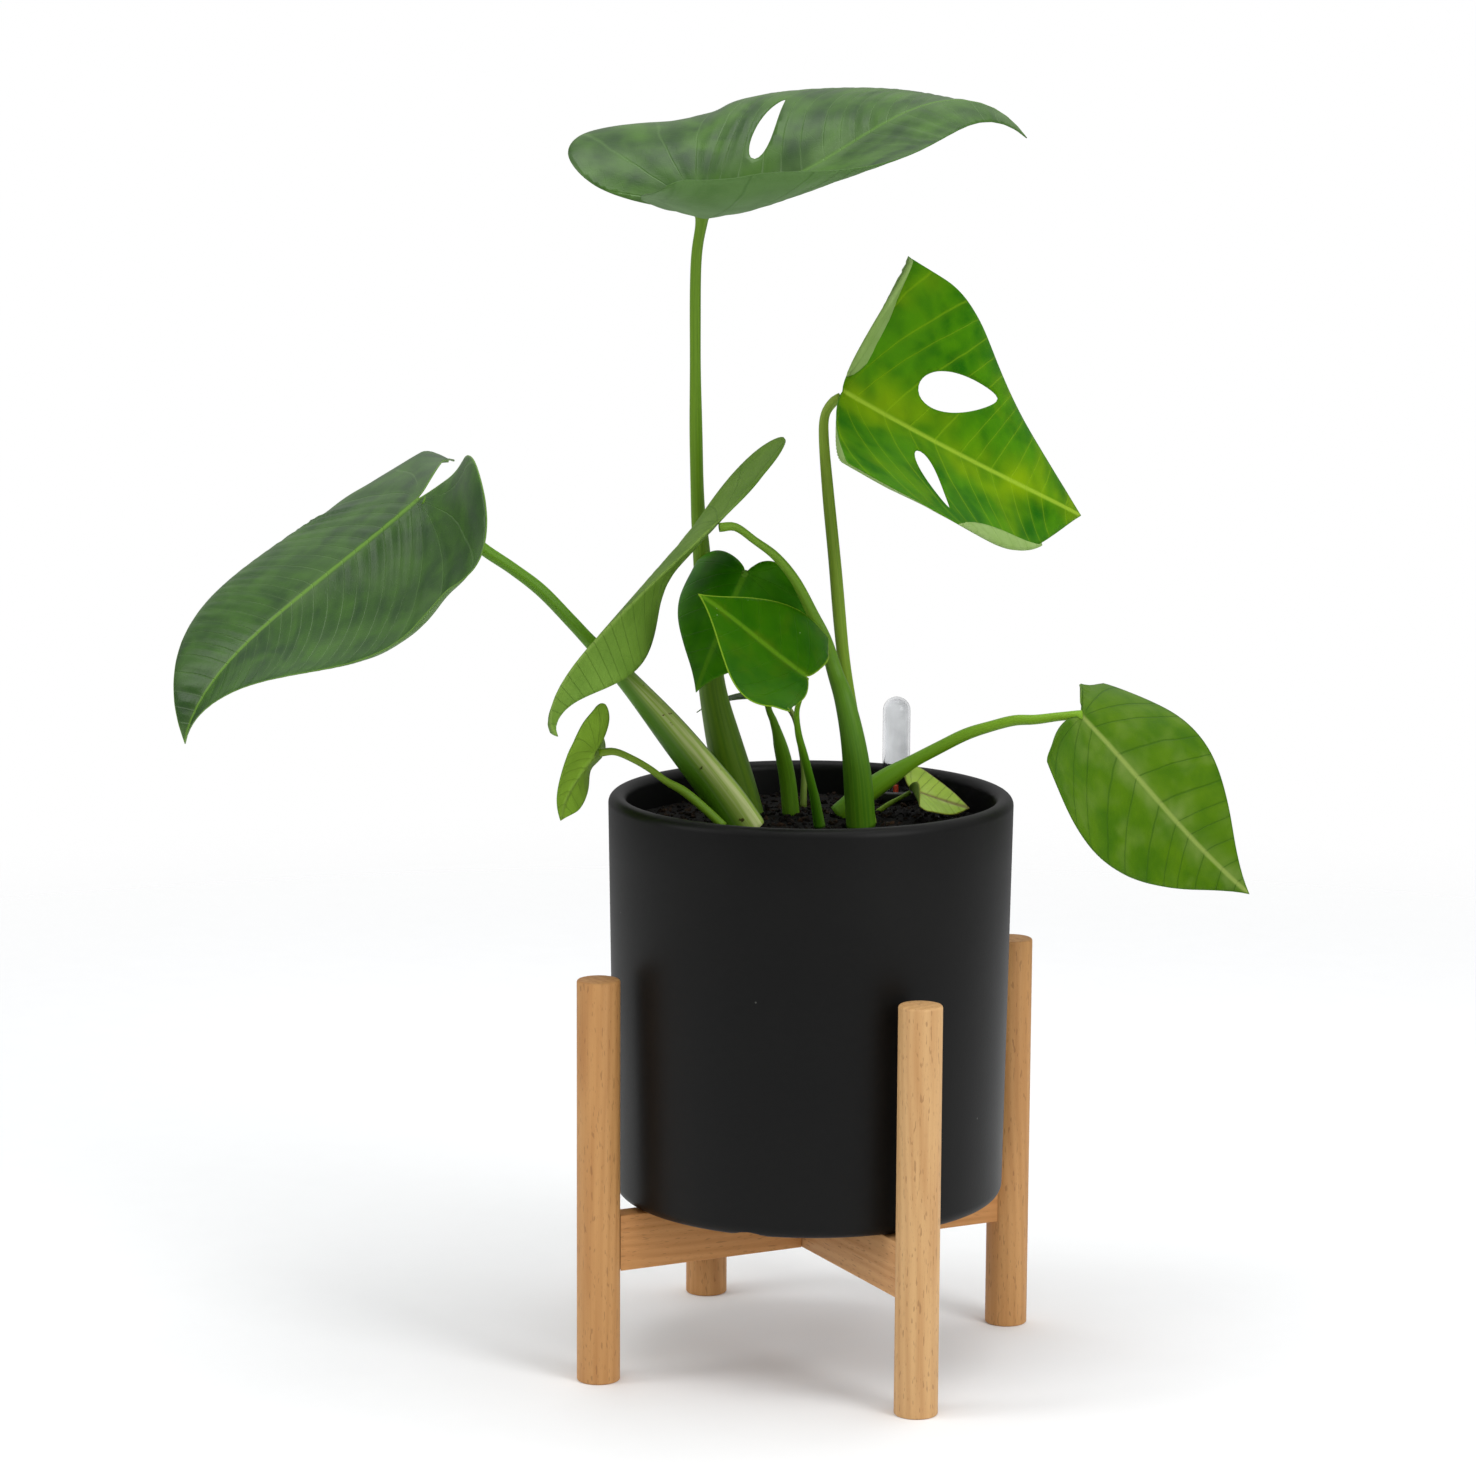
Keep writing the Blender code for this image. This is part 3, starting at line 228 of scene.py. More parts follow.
# Each stalk: points (x, y, height, radius) in millimetres from the blade down to the soil.
STALKS = {
    "top": (
        (-45.5, -36.5, 573.5, 3.4), (-47, -34, 567.5, 2.7), (-51.5, -28.5, 548, 2.7),
        (-55, -19, 505.5, 2.7), (-57.5, -10, 460, 3.2), (-58.5, -4, 426, 3.5),
        (-58, -0.5, 407, 4.2), (-57, 5.5, 369, 5.5), (-55.5, 10, 336.5, 6.7),
        (-50.5, 14.5, 307.5, 8.5), (-44, 18, 282, 9.5), (-39, 18.5, 266, 9.1),
    ),
    "upper_right": (
        (15.5, -5.5, 484, 1.9), (11.5, -6.5, 481, 2.2), (8, -7.5, 474.5, 2.3),
        (7.5, -7, 462.5, 2.6), (9.5, -5.5, 435.5, 2.9), (12.5, -3.5, 402.5, 3.2),
        (16, -0.5, 358.5, 3.2), (20.5, 2, 323.5, 3.5), (25, 4.5, 288.5, 4.0),
        (28, 6, 270, 4.0),
    ),
    "arching": (
        (-27.5, -62, 424.5, 1.9), (-20.5, -58, 424.5, 1.9), (-12.5, -53.5, 418, 1.9),
        (-3.5, -48, 410, 2.2), (4.5, -42, 398, 2.4), (10, -30.5, 380, 2.9),
        (12.5, -18.5, 366, 3.4), (17.5, -16.5, 349, 3.9), (23.5, -20.5, 336.5, 4.9),
        (27.5, -19.5, 317.5, 6.1), (29, -15.5, 297, 6.9), (29.5, -11, 273.5, 7.4),
    ),
    "left": (
        (-170, -89, 434.5, 2.4), (-160, -84.5, 429, 2.7), (-145.5, -78, 412.5, 3.0),
        (-130.5, -71.5, 401, 2.9), (-117.5, -66, 390, 3.2), (-104.5, -60, 375, 3.2),
        (-95.5, -55.5, 364, 3.4), (-82.5, -50, 349.5, 4.9), (-67, -42.5, 329.5, 6.9),
        (-50.5, -35, 307, 8.8), (-37, -28.5, 287.5, 9.8), (-26.5, -23.5, 270, 10.4),
    ),
    "lower_right": (
        (122, 62, 323, 2.0), (111, 58, 322, 2.2), (100, 54, 320.5, 2.5),
        (90, 50.5, 320, 2.7), (79, 46.5, 317, 2.7), (67.5, 42, 313, 3.0),
        (54.5, 37, 306, 3.2), (41.5, 32, 298.5, 3.5), (30, 28, 290.5, 5.0),
        (18.5, 23.5, 281.5, 5.5), (8, 19.5, 272, 5.5),
    ),
    "heart_back": (
        (-24, -33.5, 399.5, 1.5), (-26, -23.5, 384.5, 1.5), (-26, -10.5, 358, 1.5),
        (-23.5, 2, 328.5, 1.6), (-21.5, 5.5, 320, 2.0), (-18.5, 10.5, 305, 3.2),
        (-16.5, 14.5, 289.5, 3.7), (-14.5, 15, 271, 4.0),
    ),
    "heart_front": (
        (18, -65.5, 354, 1.2), (16, -62.5, 348, 1.2), (12.5, -59, 341.5, 1.3),
        (10, -55, 334.5, 1.4), (9, -48.5, 323.5, 1.7), (9.5, -40.5, 311.5, 1.9),
        (10, -28.5, 293, 2.2), (9.5, -16, 273, 2.7),
    ),
    "pale_back": (
        (-33.5, 48, 324.5, 1.1), (-28, 48, 320.5, 1.3), (-24, 48, 314, 1.3),
        (-21, 46.5, 303, 1.4), (-18, 44.5, 288.5, 1.5), (-17, 40.5, 270.5, 1.8),
    ),
    "small_left": (
        (-87, -67.5, 312, 1.7), (-80, -64.5, 312.5, 1.7), (-72, -61.5, 309, 1.7),
        (-64, -58.5, 304, 1.7), (-56.5, -56, 298, 1.8), (-48.5, -53, 293, 2.2),
        (-39.5, -49.5, 285, 2.2), (-30, -46, 275.5, 2.2),
    ),
    "torn": (
        (38.5, 44.5, 281.5, 1.0), (33.5, 42.5, 278.5, 1.0), (28.5, 40, 275.5, 1.3),
        (23, 37.5, 271.5, 1.3),
    ),
}

# The finish of each leaf. Colours are sRGB out of 255: the blade dark and light, its side veins, its
# midrib, its very edge, and blotches of another colour, which gather within halo millimetres of the
# midrib: on some leaves real yellow-green blotches, on others painted sheen; then the underside and
# its veins. Shares say how strong each is. gap is the distance between side veins and quilt the height
# of the puckers between them, in millimetres; streaks is how much of the painted shade and sheen of
# the puckers runs along the veins, gloss and tint are the strength and colour of the shine, and scars
# adds pale scratches.
INKS = ("dark", "light", "vein", "rib", "edge", "patch_and_sheen", "under", "under_vein")
COMMON_PAINT = dict(rib_share=0.8, halo=6, tint=(1.0, 1.0, 1.0), scars=False)
PAINT = {
    "top": dict(
        COMMON_PAINT,
        dark=(14, 56, 0), light=(70, 112, 26), vein=(92, 128, 64), rib=(88, 130, 44),
        edge=(72, 112, 40), patch_and_sheen=(104, 132, 84), under=(88, 126, 62), under_vein=(66, 106, 38),
        vein_share=0.3, rib_share=0.7, patch_and_sheen_share=0.45, patch_and_sheen_size=34, halo=12, rough=0.28,
        gloss=0.48, gap=10, quilt=0.85, streaks=0.35,
    ),
    "upper_right": dict(
        COMMON_PAINT,
        dark=(20, 94, 0), light=(72, 134, 0), vein=(138, 178, 20), rib=(156, 190, 52),
        edge=(70, 128, 6), patch_and_sheen=(130, 164, 0), under=(150, 178, 108), under_vein=(128, 162, 78),
        vein_share=0.35, patch_and_sheen_share=0.6, patch_and_sheen_size=30, halo=22, rough=0.46, gloss=0.16, gap=13,
        quilt=0.45, streaks=0.15, tint=(0.8, 1.0, 0.3),
    ),
    "arching": dict(
        COMMON_PAINT,
        dark=(76, 118, 30), light=(130, 160, 76), vein=(70, 108, 30), rib=(132, 166, 74),
        edge=(100, 140, 50), patch_and_sheen=(128, 152, 88), under=(108, 144, 50), under_vein=(84, 122, 34),
        vein_share=0.2, patch_and_sheen_share=0.4, patch_and_sheen_size=16, halo=10, rough=0.44, gloss=0.28, gap=7,
        quilt=0.35, streaks=0.6, tint=(1.0, 1.0, 0.8),
    ),
    "left": dict(
        COMMON_PAINT,
        dark=(14, 58, 0), light=(58, 102, 12), vein=(96, 132, 70), rib=(104, 150, 40),
        edge=(104, 146, 44), patch_and_sheen=(84, 114, 60), under=(98, 134, 68), under_vein=(76, 114, 46),
        vein_share=0.28, patch_and_sheen_share=0.4, patch_and_sheen_size=36, rough=0.27, gloss=0.52, gap=8, quilt=1.15,
        streaks=0.35,
    ),
    "lower_right": dict(
        COMMON_PAINT,
        dark=(52, 98, 0), light=(84, 122, 6), vein=(44, 86, 8), rib=(142, 162, 80), edge=(60, 104, 10),
        patch_and_sheen=(124, 146, 74), under=(116, 148, 66), under_vein=(92, 128, 40), vein_share=0.6,
        patch_and_sheen_share=0.45, patch_and_sheen_size=18, halo=12, rough=0.4, gloss=0.2, gap=14, quilt=0.4,
        streaks=0.35, tint=(0.9, 1.0, 0.4),
    ),
    "heart_back": dict(
        COMMON_PAINT,
        dark=(26, 96, 0), light=(62, 128, 0), vein=(72, 126, 22), rib=(88, 142, 26),
        edge=(84, 138, 20), patch_and_sheen=(92, 126, 64), under=(84, 126, 42), under_vein=(64, 108, 22),
        vein_share=0.12, patch_and_sheen_share=0.25, patch_and_sheen_size=22, halo=5, rough=0.36, gloss=0.22, gap=10,
        quilt=0.12, streaks=0.3, tint=(0.8, 1.0, 0.3),
    ),
    "heart_front": dict(
        COMMON_PAINT,
        dark=(24, 82, 0), light=(50, 104, 0), vein=(80, 128, 18), rib=(90, 136, 22),
        edge=(142, 178, 48), patch_and_sheen=(84, 108, 4), under=(92, 132, 42), under_vein=(70, 112, 24),
        vein_share=0.06, patch_and_sheen_share=0.35, patch_and_sheen_size=12, halo=5, rough=0.38, gloss=0.14, gap=10,
        quilt=0.12, streaks=0.2, tint=(0.7, 1.0, 0.2), scars=True,
    ),
    "pale_back": dict(
        COMMON_PAINT,
        dark=(96, 124, 74), light=(114, 140, 92), vein=(90, 120, 70), rib=(130, 156, 104),
        edge=(112, 138, 90), patch_and_sheen=(122, 144, 100), under=(112, 138, 94), under_vein=(92, 120, 74),
        vein_share=0.4, patch_and_sheen_share=0.3, patch_and_sheen_size=12, rough=0.44, gloss=0.3, gap=6, quilt=0.15,
        streaks=0.4,
    ),
    "small_left": dict(
        COMMON_PAINT,
        dark=(112, 156, 26), light=(142, 184, 46), vein=(84, 112, 32), rib=(134, 168, 66),
        edge=(84, 124, 30), patch_and_sheen=(136, 168, 60), under=(142, 184, 58), under_vein=(116, 156, 42),
        vein_share=0.4, patch_and_sheen_share=0.3, patch_and_sheen_size=12, rough=0.42, gloss=0.28, gap=6, quilt=0.25,
        streaks=0.5, tint=(0.9, 1.0, 0.6),
    ),
    "torn": dict(
        COMMON_PAINT,
        dark=(138, 174, 34), light=(168, 196, 64), vein=(104, 124, 38), rib=(110, 92, 46),
        edge=(120, 108, 46), patch_and_sheen=(172, 192, 102), under=(146, 172, 86), under_vein=(116, 142, 58),
        vein_share=0.5, patch_and_sheen_share=0.5, patch_and_sheen_size=8, rough=0.3, gloss=0.4, gap=5, quilt=0.2,
        streaks=0.4, tint=(1.0, 1.0, 0.8),
    ),
}


# The skin of each stalk, in sRGB: under its blade, near the soil, and its stripes.
GREENS = {
    "top": ((111, 149, 32), (102, 138, 26), (81, 123, 19)),
    "upper_right": ((137, 162, 55), (121, 156, 32), (107, 145, 36)),
    "arching": ((114, 153, 37), (67, 117, 16), (90, 134, 24)),
    "left": ((97, 145, 20), (72, 121, 17), (86, 132, 20)),
    "lower_right": ((128, 173, 32), (97, 147, 22), (114, 160, 26)),
    "heart_back": ((93, 145, 24), (107, 158, 29), (84, 132, 19)),
    "heart_front": ((104, 151, 22), (56, 114, 10), (77, 130, 13)),
    "pale_back": ((128, 147, 65), (111, 134, 50), (116, 138, 56)),
    "small_left": ((125, 153, 39), (111, 153, 33), (97, 136, 26)),
    "torn": ((137, 171, 43), (128, 162, 37), (114, 151, 32)),
}


# ---------------------------------------------------------------- shader building
class Value:
    """One output of a shader node. Sums of values make Math nodes."""

    def __init__(self, look, output):
        self.look = look
        self.output = output

    def maths(self, operation, *terms):
        return self.look.node("ShaderNodeMath", {"operation": operation}, dict(enumerate(terms)))

    def __add__(self, other):
        return self.maths("ADD", self, other)

    def __sub__(self, other):
        return self.maths("SUBTRACT", self, other)

    def __rsub__(self, other):
        return self.maths("SUBTRACT", other, self)

    def __mul__(self, other):
        return self.maths("MULTIPLY", self, other)

    __radd__ = __add__
    __rmul__ = __mul__

    def size(self):
        return self.maths("ABSOLUTE", self)

    def wave(self):
        """A sine of the value, from 0 to 1."""
        return self.maths("SINE", self) * 0.5 + 0.5

    def to_nearest_whole(self):
        """How far the value is from a whole number, 0 to 0.5."""
        return self.maths("PINGPONG", self, 0.5)

    def rise(self, low, high):
        """0 below low, 1 above high and smooth between."""
        settings = {"interpolation_type": "SMOOTHSTEP"}
        return self.look.node("ShaderNodeMapRange", settings, {0: self, 1: low, 2: high})


class Look:
    """A material on a Principled shader, and short ways to make its nodes."""

    def __init__(self, name, **finish):
        self.material = bpy.data.materials.new(name)
        self.material.use_nodes = True
        self.tree = self.material.node_tree
        self.shader = self.tree.nodes["Principled BSDF"]
        for socket, value in finish.items():
            self.shader.inputs[socket.replace("_", " ")].default_value = value

    def node(self, kind, settings=None, sockets=None, out=0):
        made = self.tree.nodes.new(kind)
        for name, value in (settings or {}).items():
            setattr(made, name, value)
        for name, value in (sockets or {}).items():
            self.feed(made.inputs[name], value)
        return Value(self, made.outputs[out])

    def feed(self, socket, value):
        if isinstance(value, Value):
            self.tree.links.new(value.output, socket)
        else:
            socket.default_value = value

    def place(self):
        """Object coordinates, in metres."""
        return self.node("ShaderNodeTexCoord", out=3)

    def attribute(self, name):
        return self.node("ShaderNodeAttribute", {"attribute_name": name}, out=2)

    def join(self, x, y, z):
        return self.node("ShaderNodeCombineXYZ", sockets={0: x, 1: y, 2: z})

    def split(self, vector):
        parts = self.node("ShaderNodeSeparateXYZ", sockets={0: vector})
        return [Value(self, output) for output in parts.output.node.outputs]

    def length(self, x, y):
        settings = {"operation": "LENGTH"}
        return self.node("ShaderNodeVectorMath", settings, {0: self.join(x, y, 0.0)}, out=1)

    def stretched(self, vector, scale, turn=(0.0, 0.0, 0.0)):
        sockets = {"Vector": vector, "Scale": scale, "Rotation": turn}
        return self.node("ShaderNodeMapping", sockets=sockets)

    def cloud(self, vector, scale, detail=3.0, rough=0.55, warp=0.0):
        sockets = {
            "Vector": vector, "Scale": scale, "Detail": detail, "Roughness": rough, "Distortion": warp,
        }
        return self.node("ShaderNodeTexNoise", sockets=sockets)

    def cells(self, vector, scale, feature="F1"):
        sockets = {"Vector": vector, "Scale": scale}
        return self.node("ShaderNodeTexVoronoi", {"feature": feature}, sockets)

    def mix(self, share, first, second):
        sockets = {0: share, 6: first, 7: second}
        return self.node("ShaderNodeMix", {"data_type": "RGBA"}, sockets, out=2)

    def finish(self, colour=None, rough=None, height=None, depth=0.0, **others):
        """Feed the shader; height is a pattern from 0 to 1 that stands depth metres proud."""
        if colour is not None:
            self.feed(self.shader.inputs["Base Color"], colour)
        if rough is not None:
            self.feed(self.shader.inputs["Roughness"], rough)
        if height is not None:
            sockets = {"Height": height, "Distance": depth, "Strength": 1.0}
            bump = self.node("ShaderNodeBump", sockets=sockets)
            self.feed(self.shader.inputs["Normal"], bump)
        for socket, value in others.items():
            self.feed(self.shader.inputs[socket.replace("_", " ")], value)
        return self.material


def srgb(red, green, blue):
    """An sRGB colour out of 255 as the linear colour that a shader takes."""
    linear = []
    for part in (red, green, blue):
        part = part / 255
        linear.append(part / 12.92 if part <= 0.04045 else ((part + 0.055) / 1.055) ** 2.4)
    return (*linear, 1.0)


# ---------------------------------------------------------------- materials
def leaf_look(name, paint, underside):
    """Skin of a leaf. The veins follow the blade's own measures, kept in its mesh in millimetres."""
    look = Look(name, IOR=1.42, Specular_IOR_Level=paint["gloss"], Specular_Tint=(*paint["tint"], 1.0))
    ink = {part: srgb(*paint[part]) for part in INKS}
    along = look.attribute("along")
    across = look.attribute("across")
    phase = look.attribute("vein")
    edge = look.attribute("edge")
    seed = sum(map(ord, name)) * 0.37
    flat = look.join(along, across, seed)
    middle = look.cloud(flat, 0.055, detail=2.0, warp=0.3)
    fine = look.cloud(flat, 1.4, detail=2.0)
    bent = phase + look.cloud(flat, 0.06, detail=1.0) * 0.14
    streaks = look.cloud(look.join(bent * 1.2, across * 0.022, seed), 1.0, detail=3.0, rough=0.45)
    from_vein = bent.to_nearest_whole()
    veins = 1 - from_vein.rise(0.0, 0.05)
    net_cells = look.stretched(flat, (0.20, 0.30, 1.0))
    net = 1 - look.cells(net_cells, 1.0, "DISTANCE_TO_EDGE").rise(0.0, 0.06)
    rib_width = 1.5 - along * 0.006
    rib = 1 - across.size().rise(0.35, 1.0 + rib_width.maths("MAXIMUM", rib_width, 0.2) * 0.9)
    if underside:
        twigs = 1 - (bent * 4 + middle * 1.2).to_nearest_whole().rise(0.0, 0.10)
        skin = look.mix(middle.rise(0.3, 0.75) * 0.6, ink["under"], ink["under_vein"])
        skin = look.mix(streaks.rise(0.5, 0.75) * 0.25, skin, ink["under_vein"])
        skin = look.mix(veins * 0.6, skin, ink["under_vein"])
        skin = look.mix(net * 0.12, skin, ink["under_vein"])
        skin = look.mix(rib * 0.8, skin, ink["rib"])
        height = veins * 0.5 + rib * 0.9 + net * 0.12 + twigs * 0.10 + fine * 0.12
        return look.finish(skin, 0.55 + middle * 0.12, height, 0.5 * MM)
    broad = look.cloud(flat, 1 / paint["patch_and_sheen_size"], detail=2.0, warp=0.3)
    strength = paint["vein_share"]
    # The streaky share of the tone paints the shade and sheen of the puckers between the side veins.
    even, streaky = middle.rise(0.25, 0.75), streaks.rise(0.22, 0.80)
    tone = even * (1 - paint["streaks"]) + streaky * paint["streaks"]
    by_rib = 1 - across.size().rise(1.0, paint["halo"])
    # Paler blotches by the midrib and about the blade: real yellow-green blotches on some leaves,
    # painted sheen on others.
    patches_and_sheen = broad.rise(0.46, 0.78) * 0.6 + by_rib * broad.rise(0.25, 0.70)
    beside_vein = 1 - from_vein.rise(0.02, 0.24)
    rim = 1 - edge.rise(0.2, 0.8)
    skin = look.mix(tone, ink["dark"], ink["light"])
    skin = look.mix(patches_and_sheen * paint["patch_and_sheen_share"], skin, ink["patch_and_sheen"])
    skin = look.mix(beside_vein * 0.20 * strength, skin, ink["vein"])
    skin = look.mix(net * 0.10 * strength, skin, ink["vein"])
    skin = look.mix(veins * strength, skin, ink["vein"])
    skin = look.mix(rib * paint["rib_share"], skin, ink["rib"])
    skin = look.mix(rim * 0.7, skin, ink["edge"])
    if paint["scars"]:
        scratch = look.cells(look.stretched(flat, (0.22, 0.10, 1.0), turn=(0.0, 0.0, 0.6)), 1.0)
        scars = (1 - scratch.rise(0.03, 0.06)) * fine.rise(0.4, 0.5)
        skin = look.mix(scars * 0.7, skin, srgb(188, 208, 168))
    height = 0.6 - veins * 0.34 - rib * 0.4 - net * 0.05 + fine * 0.05 + streaks * 0.70
    rough = paint["rough"] + broad * 0.12 + fine * 0.04
    return look.finish(skin, rough, height, 0.45 * MM)


def stalk_look(name, upper, lower, stripe):
    """Juicy stalk skin with fine lengthwise lines; its wing is paler, with dry brown specks."""
    look = Look(name, IOR=1.42, Specular_IOR_Level=0.32)
    round_x = look.attribute("round_x")
    round_y = look.attribute("round_y")
    down = look.attribute("down")
    wing = look.attribute("wing")
    share = look.attribute("share")
    lines_at = look.join(round_x * 5.0, round_y * 5.0, down * 0.012)
    lines = look.cloud(lines_at, 1.0, detail=4.0)
    mottle = look.cloud(look.join(round_x, round_y, down * 0.06), 1.6, detail=3.0)
    specks = look.cloud(look.join(round_x * 3, round_y * 3, down * 0.35), 1.0, detail=3.0)
    skin = look.mix(share.rise(0.1, 0.95), srgb(*upper), srgb(*lower))
    skin = look.mix(lines.rise(0.40, 0.64) * 0.65, skin, srgb(*stripe))
    skin = look.mix(mottle.rise(0.55, 0.75) * 0.30, skin, srgb(*lower))
    pale = look.mix(lines.rise(0.35, 0.65), srgb(204, 214, 148), srgb(156, 184, 78))
    pale = look.mix(specks.rise(0.66, 0.72), pale, srgb(84, 56, 34))
    skin = look.mix(wing, skin, pale)
    skin = look.mix(specks.rise(0.74, 0.79) * 0.7, skin, srgb(60, 66, 30))
    rough = 0.36 + mottle * 0.16 + wing * 0.18
    return look.finish(skin, rough, lines * 0.7 + specks * 0.3, 0.25 * MM)


def wood_look(name, light, dark, turn):
    """Beech, with its grain along Z for turn None, or along X turned by that angle about Z."""
    look = Look(name, IOR=1.45)
    place = look.place()
    if turn is not None:
        place = look.stretched(place, (1.0, 1.0, 1.0), turn=(0.0, 0.0, -math.radians(turn)))
        x, y, z = look.split(place)
        place = look.join(y, z, x)
    x, y, z = look.split(place)
    drift = look.cloud(look.stretched(place, (30.0, 30.0, 6.0)), 1.0, detail=2.0)
    from_heart = look.length(x, y)
    rings = ((from_heart + z * 0.035 + drift * 0.012) * (math.tau / RING_GAP)).wave()
    streaks = look.cloud(look.stretched(place, (420.0, 420.0, 9.0)), 1.0, detail=3.0)
    flecks = look.cloud(look.stretched(place, (900.0, 900.0, 170.0)), 1.0, detail=1.0)
    pores = look.cloud(look.stretched(place, (2200.0, 2200.0, 260.0)), 1.0, detail=1.0)
    tone = rings * 0.14 + streaks * 0.50 + drift * 0.40
    skin = look.mix(tone.rise(0.30, 0.85), srgb(*light), srgb(*dark))
    skin = look.mix(flecks.rise(0.63, 0.70) * 0.45, skin, srgb(132, 88, 48))
    skin = look.mix(pores.rise(0.62, 0.75) * 0.25, skin, srgb(140, 94, 54))
    rough = 0.50 + streaks * 0.16
    height = streaks * 0.4 + pores * 0.4 - flecks.rise(0.6, 0.75) * 0.4
    return look.finish(skin, rough, height, 0.12 * MM)


def pot_look(name):
    """Matte black glaze: faintly mottled, with a soft sheen and a few pale dust specks."""
    look = Look(name, IOR=1.45, Specular_IOR_Level=0.22)
    place = look.place()
    smudge = look.cloud(place, 9.0, detail=3.0, warp=0.5)
    grain = look.cloud(place, 900.0, detail=2.0)
    satin = look.cloud(look.stretched(place, (60.0, 60.0, 300.0)), 1.0, detail=2.0)
    dust = look.cells(place, 55.0)
    skin = look.mix(smudge.rise(0.35, 0.7), srgb(4, 4, 4), srgb(10, 10, 9))
    skin = look.mix((1 - dust.rise(0.020, 0.030)) * 0.35, skin, srgb(120, 120, 116))
    rough = 0.38 + smudge * 0.10 + grain * 0.05
    return look.finish(skin, rough, grain * 0.6 + satin * 0.4, 0.05 * MM)


def soil_look(name, dark, light):
    look = Look(name, Specular_IOR_Level=0.15)
    place = look.place()
    clumps = look.cloud(place, 110.0, detail=5.0, rough=0.65)
    grit = look.cloud(place, 700.0, detail=3.0)
    skin = look.mix(clumps.rise(0.45, 0.75), srgb(*dark), srgb(*light))
    skin = look.mix(grit.rise(0.66, 0.76) * 0.5, skin, srgb(96, 72, 48))
    return look.finish(skin, 0.80 + grit * 0.15, clumps * 0.6 + grit * 0.4, 0.8 * MM)


def plastic_look(name, colour, rough, texture=0.02 * MM, **finish):
    look = Look(name, **finish)
    place = look.place()
    fine = look.cloud(place, 1500.0, detail=2.0)
    broad = look.cloud(place, 60.0, detail=2.0)
    shade = tuple(0.72 * part for part in colour[:3]) + (1.0,)
    skin = look.mix(broad.rise(0.3, 0.8), colour, shade)
    return look.finish(skin, rough + broad * 0.10, fine, texture)


def paint_nodes(names, material):
    """Give CAD nodes that still show a better finish."""
    for name in names:
        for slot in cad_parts[name].material_slots:
            slot.material = material


# ---------------------------------------------------------------- pieces
def own(piece, body, nodes, material=None):
    """Put a finished piece on its body, in place of CAD nodes."""
    if material is not None:
        piece.data.materials.clear()
        piece.data.materials.append(material)
    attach(piece, body)
    if nodes:
        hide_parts(*nodes)
    return piece


def start(name, add, **settings):
    """Add a primitive, put its place in its mesh, and go into edit mode."""
    bpy.ops.object.select_all(action="DESELECT")
    add(**settings)
    piece = bpy.context.object
    piece.name = name
    piece.data.name = name
    bpy.ops.object.transform_apply(location=True, rotation=True, scale=True)
    bpy.ops.object.mode_set(mode="EDIT")
    return piece


def choose_edges(piece, test):
    """In edit mode, select only the edges whose two ends pass the test."""
    bpy.ops.mesh.select_all(action="DESELECT")
    bpy.ops.mesh.select_mode(type="EDGE")
    mesh = bmesh.from_edit_mesh(piece.data)
    for edge in mesh.edges:
        first, second = edge.verts
        if test(first.co) and test(second.co):
            edge.select_set(True)
    bmesh.update_edit_mesh(piece.data)


def stop(piece, smooth=35):
    """Leave edit mode and shade the piece smooth up to an angle."""
    bpy.ops.object.mode_set(mode="OBJECT")
    bpy.ops.object.shade_smooth_by_angle(angle=math.radians(smooth))
    return piece


def apply_cut(piece, cutter):
    boolean = piece.modifiers.new("cut", "BOOLEAN")
    boolean.operation = "DIFFERENCE"
    boolean.solver = "EXACT"
    boolean.object = cutter
    bpy.ops.object.select_all(action="DESELECT")
    bpy.context.view_layer.objects.active = piece
    piece.select_set(True)
    bpy.ops.object.modifier_apply(modifier=boolean.name)
    bpy.data.objects.remove(cutter, do_unlink=True)


def mesh_piece(name, verts, faces, smooth=True):
    mesh = bpy.data.meshes.new(name)
    mesh.from_pydata([tuple(vert) for vert in verts], [], [tuple(face) for face in faces])
    mesh.polygons.foreach_set("use_smooth", [smooth] * len(mesh.polygons))
    piece = bpy.data.objects.new(name, mesh)
    bpy.context.scene.collection.objects.link(piece)
    return piece


def write_attributes(piece, values):
    for name, numbers in values.items():
        made = piece.data.attributes.new(name, "FLOAT", "POINT")
        made.data.foreach_set("value", np.asarray(numbers, np.float32))


# ---------------------------------------------------------------- stand
def on_circle(radius, angle, height=0.0):
    turn = math.radians(angle)
    return CENTRE + Vector((radius * math.cos(turn), radius * math.sin(turn), height))


def make_posts(woods):
    """Four turned legs with eased edges at both ends."""
    for number, angle in enumerate(LEG_ANGLES, 1):
        low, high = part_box(f"leg_{number}")
        middle = on_circle(LEG_CIRCLE, angle, (low.z + high.z) / 2)
        post = start(
            f"post_{number}", bpy.ops.mesh.primitive_cylinder_add, vertices=64, radius=LEG_RADIUS,
            depth=high.z - low.z, location=middle,
        )
        for level, width in ((low.z, 0.8 * MM), (high.z, 1.2 * MM)):
            choose_edges(post, lambda co, level=level: abs(co.z - level) < 0.01 * MM)
            bpy.ops.mesh.bevel(offset=width, segments=3, affect="EDGES")
        stop(post)
        own(post, BODY, [f"leg_{number}"], woods[number - 1])


def cylinder_cutter(radius, middle, height):
    bpy.ops.object.select_all(action="DESELECT")
    bpy.ops.mesh.primitive_cylinder_add(vertices=64, radius=radius, depth=height, location=middle)
    return bpy.context.object


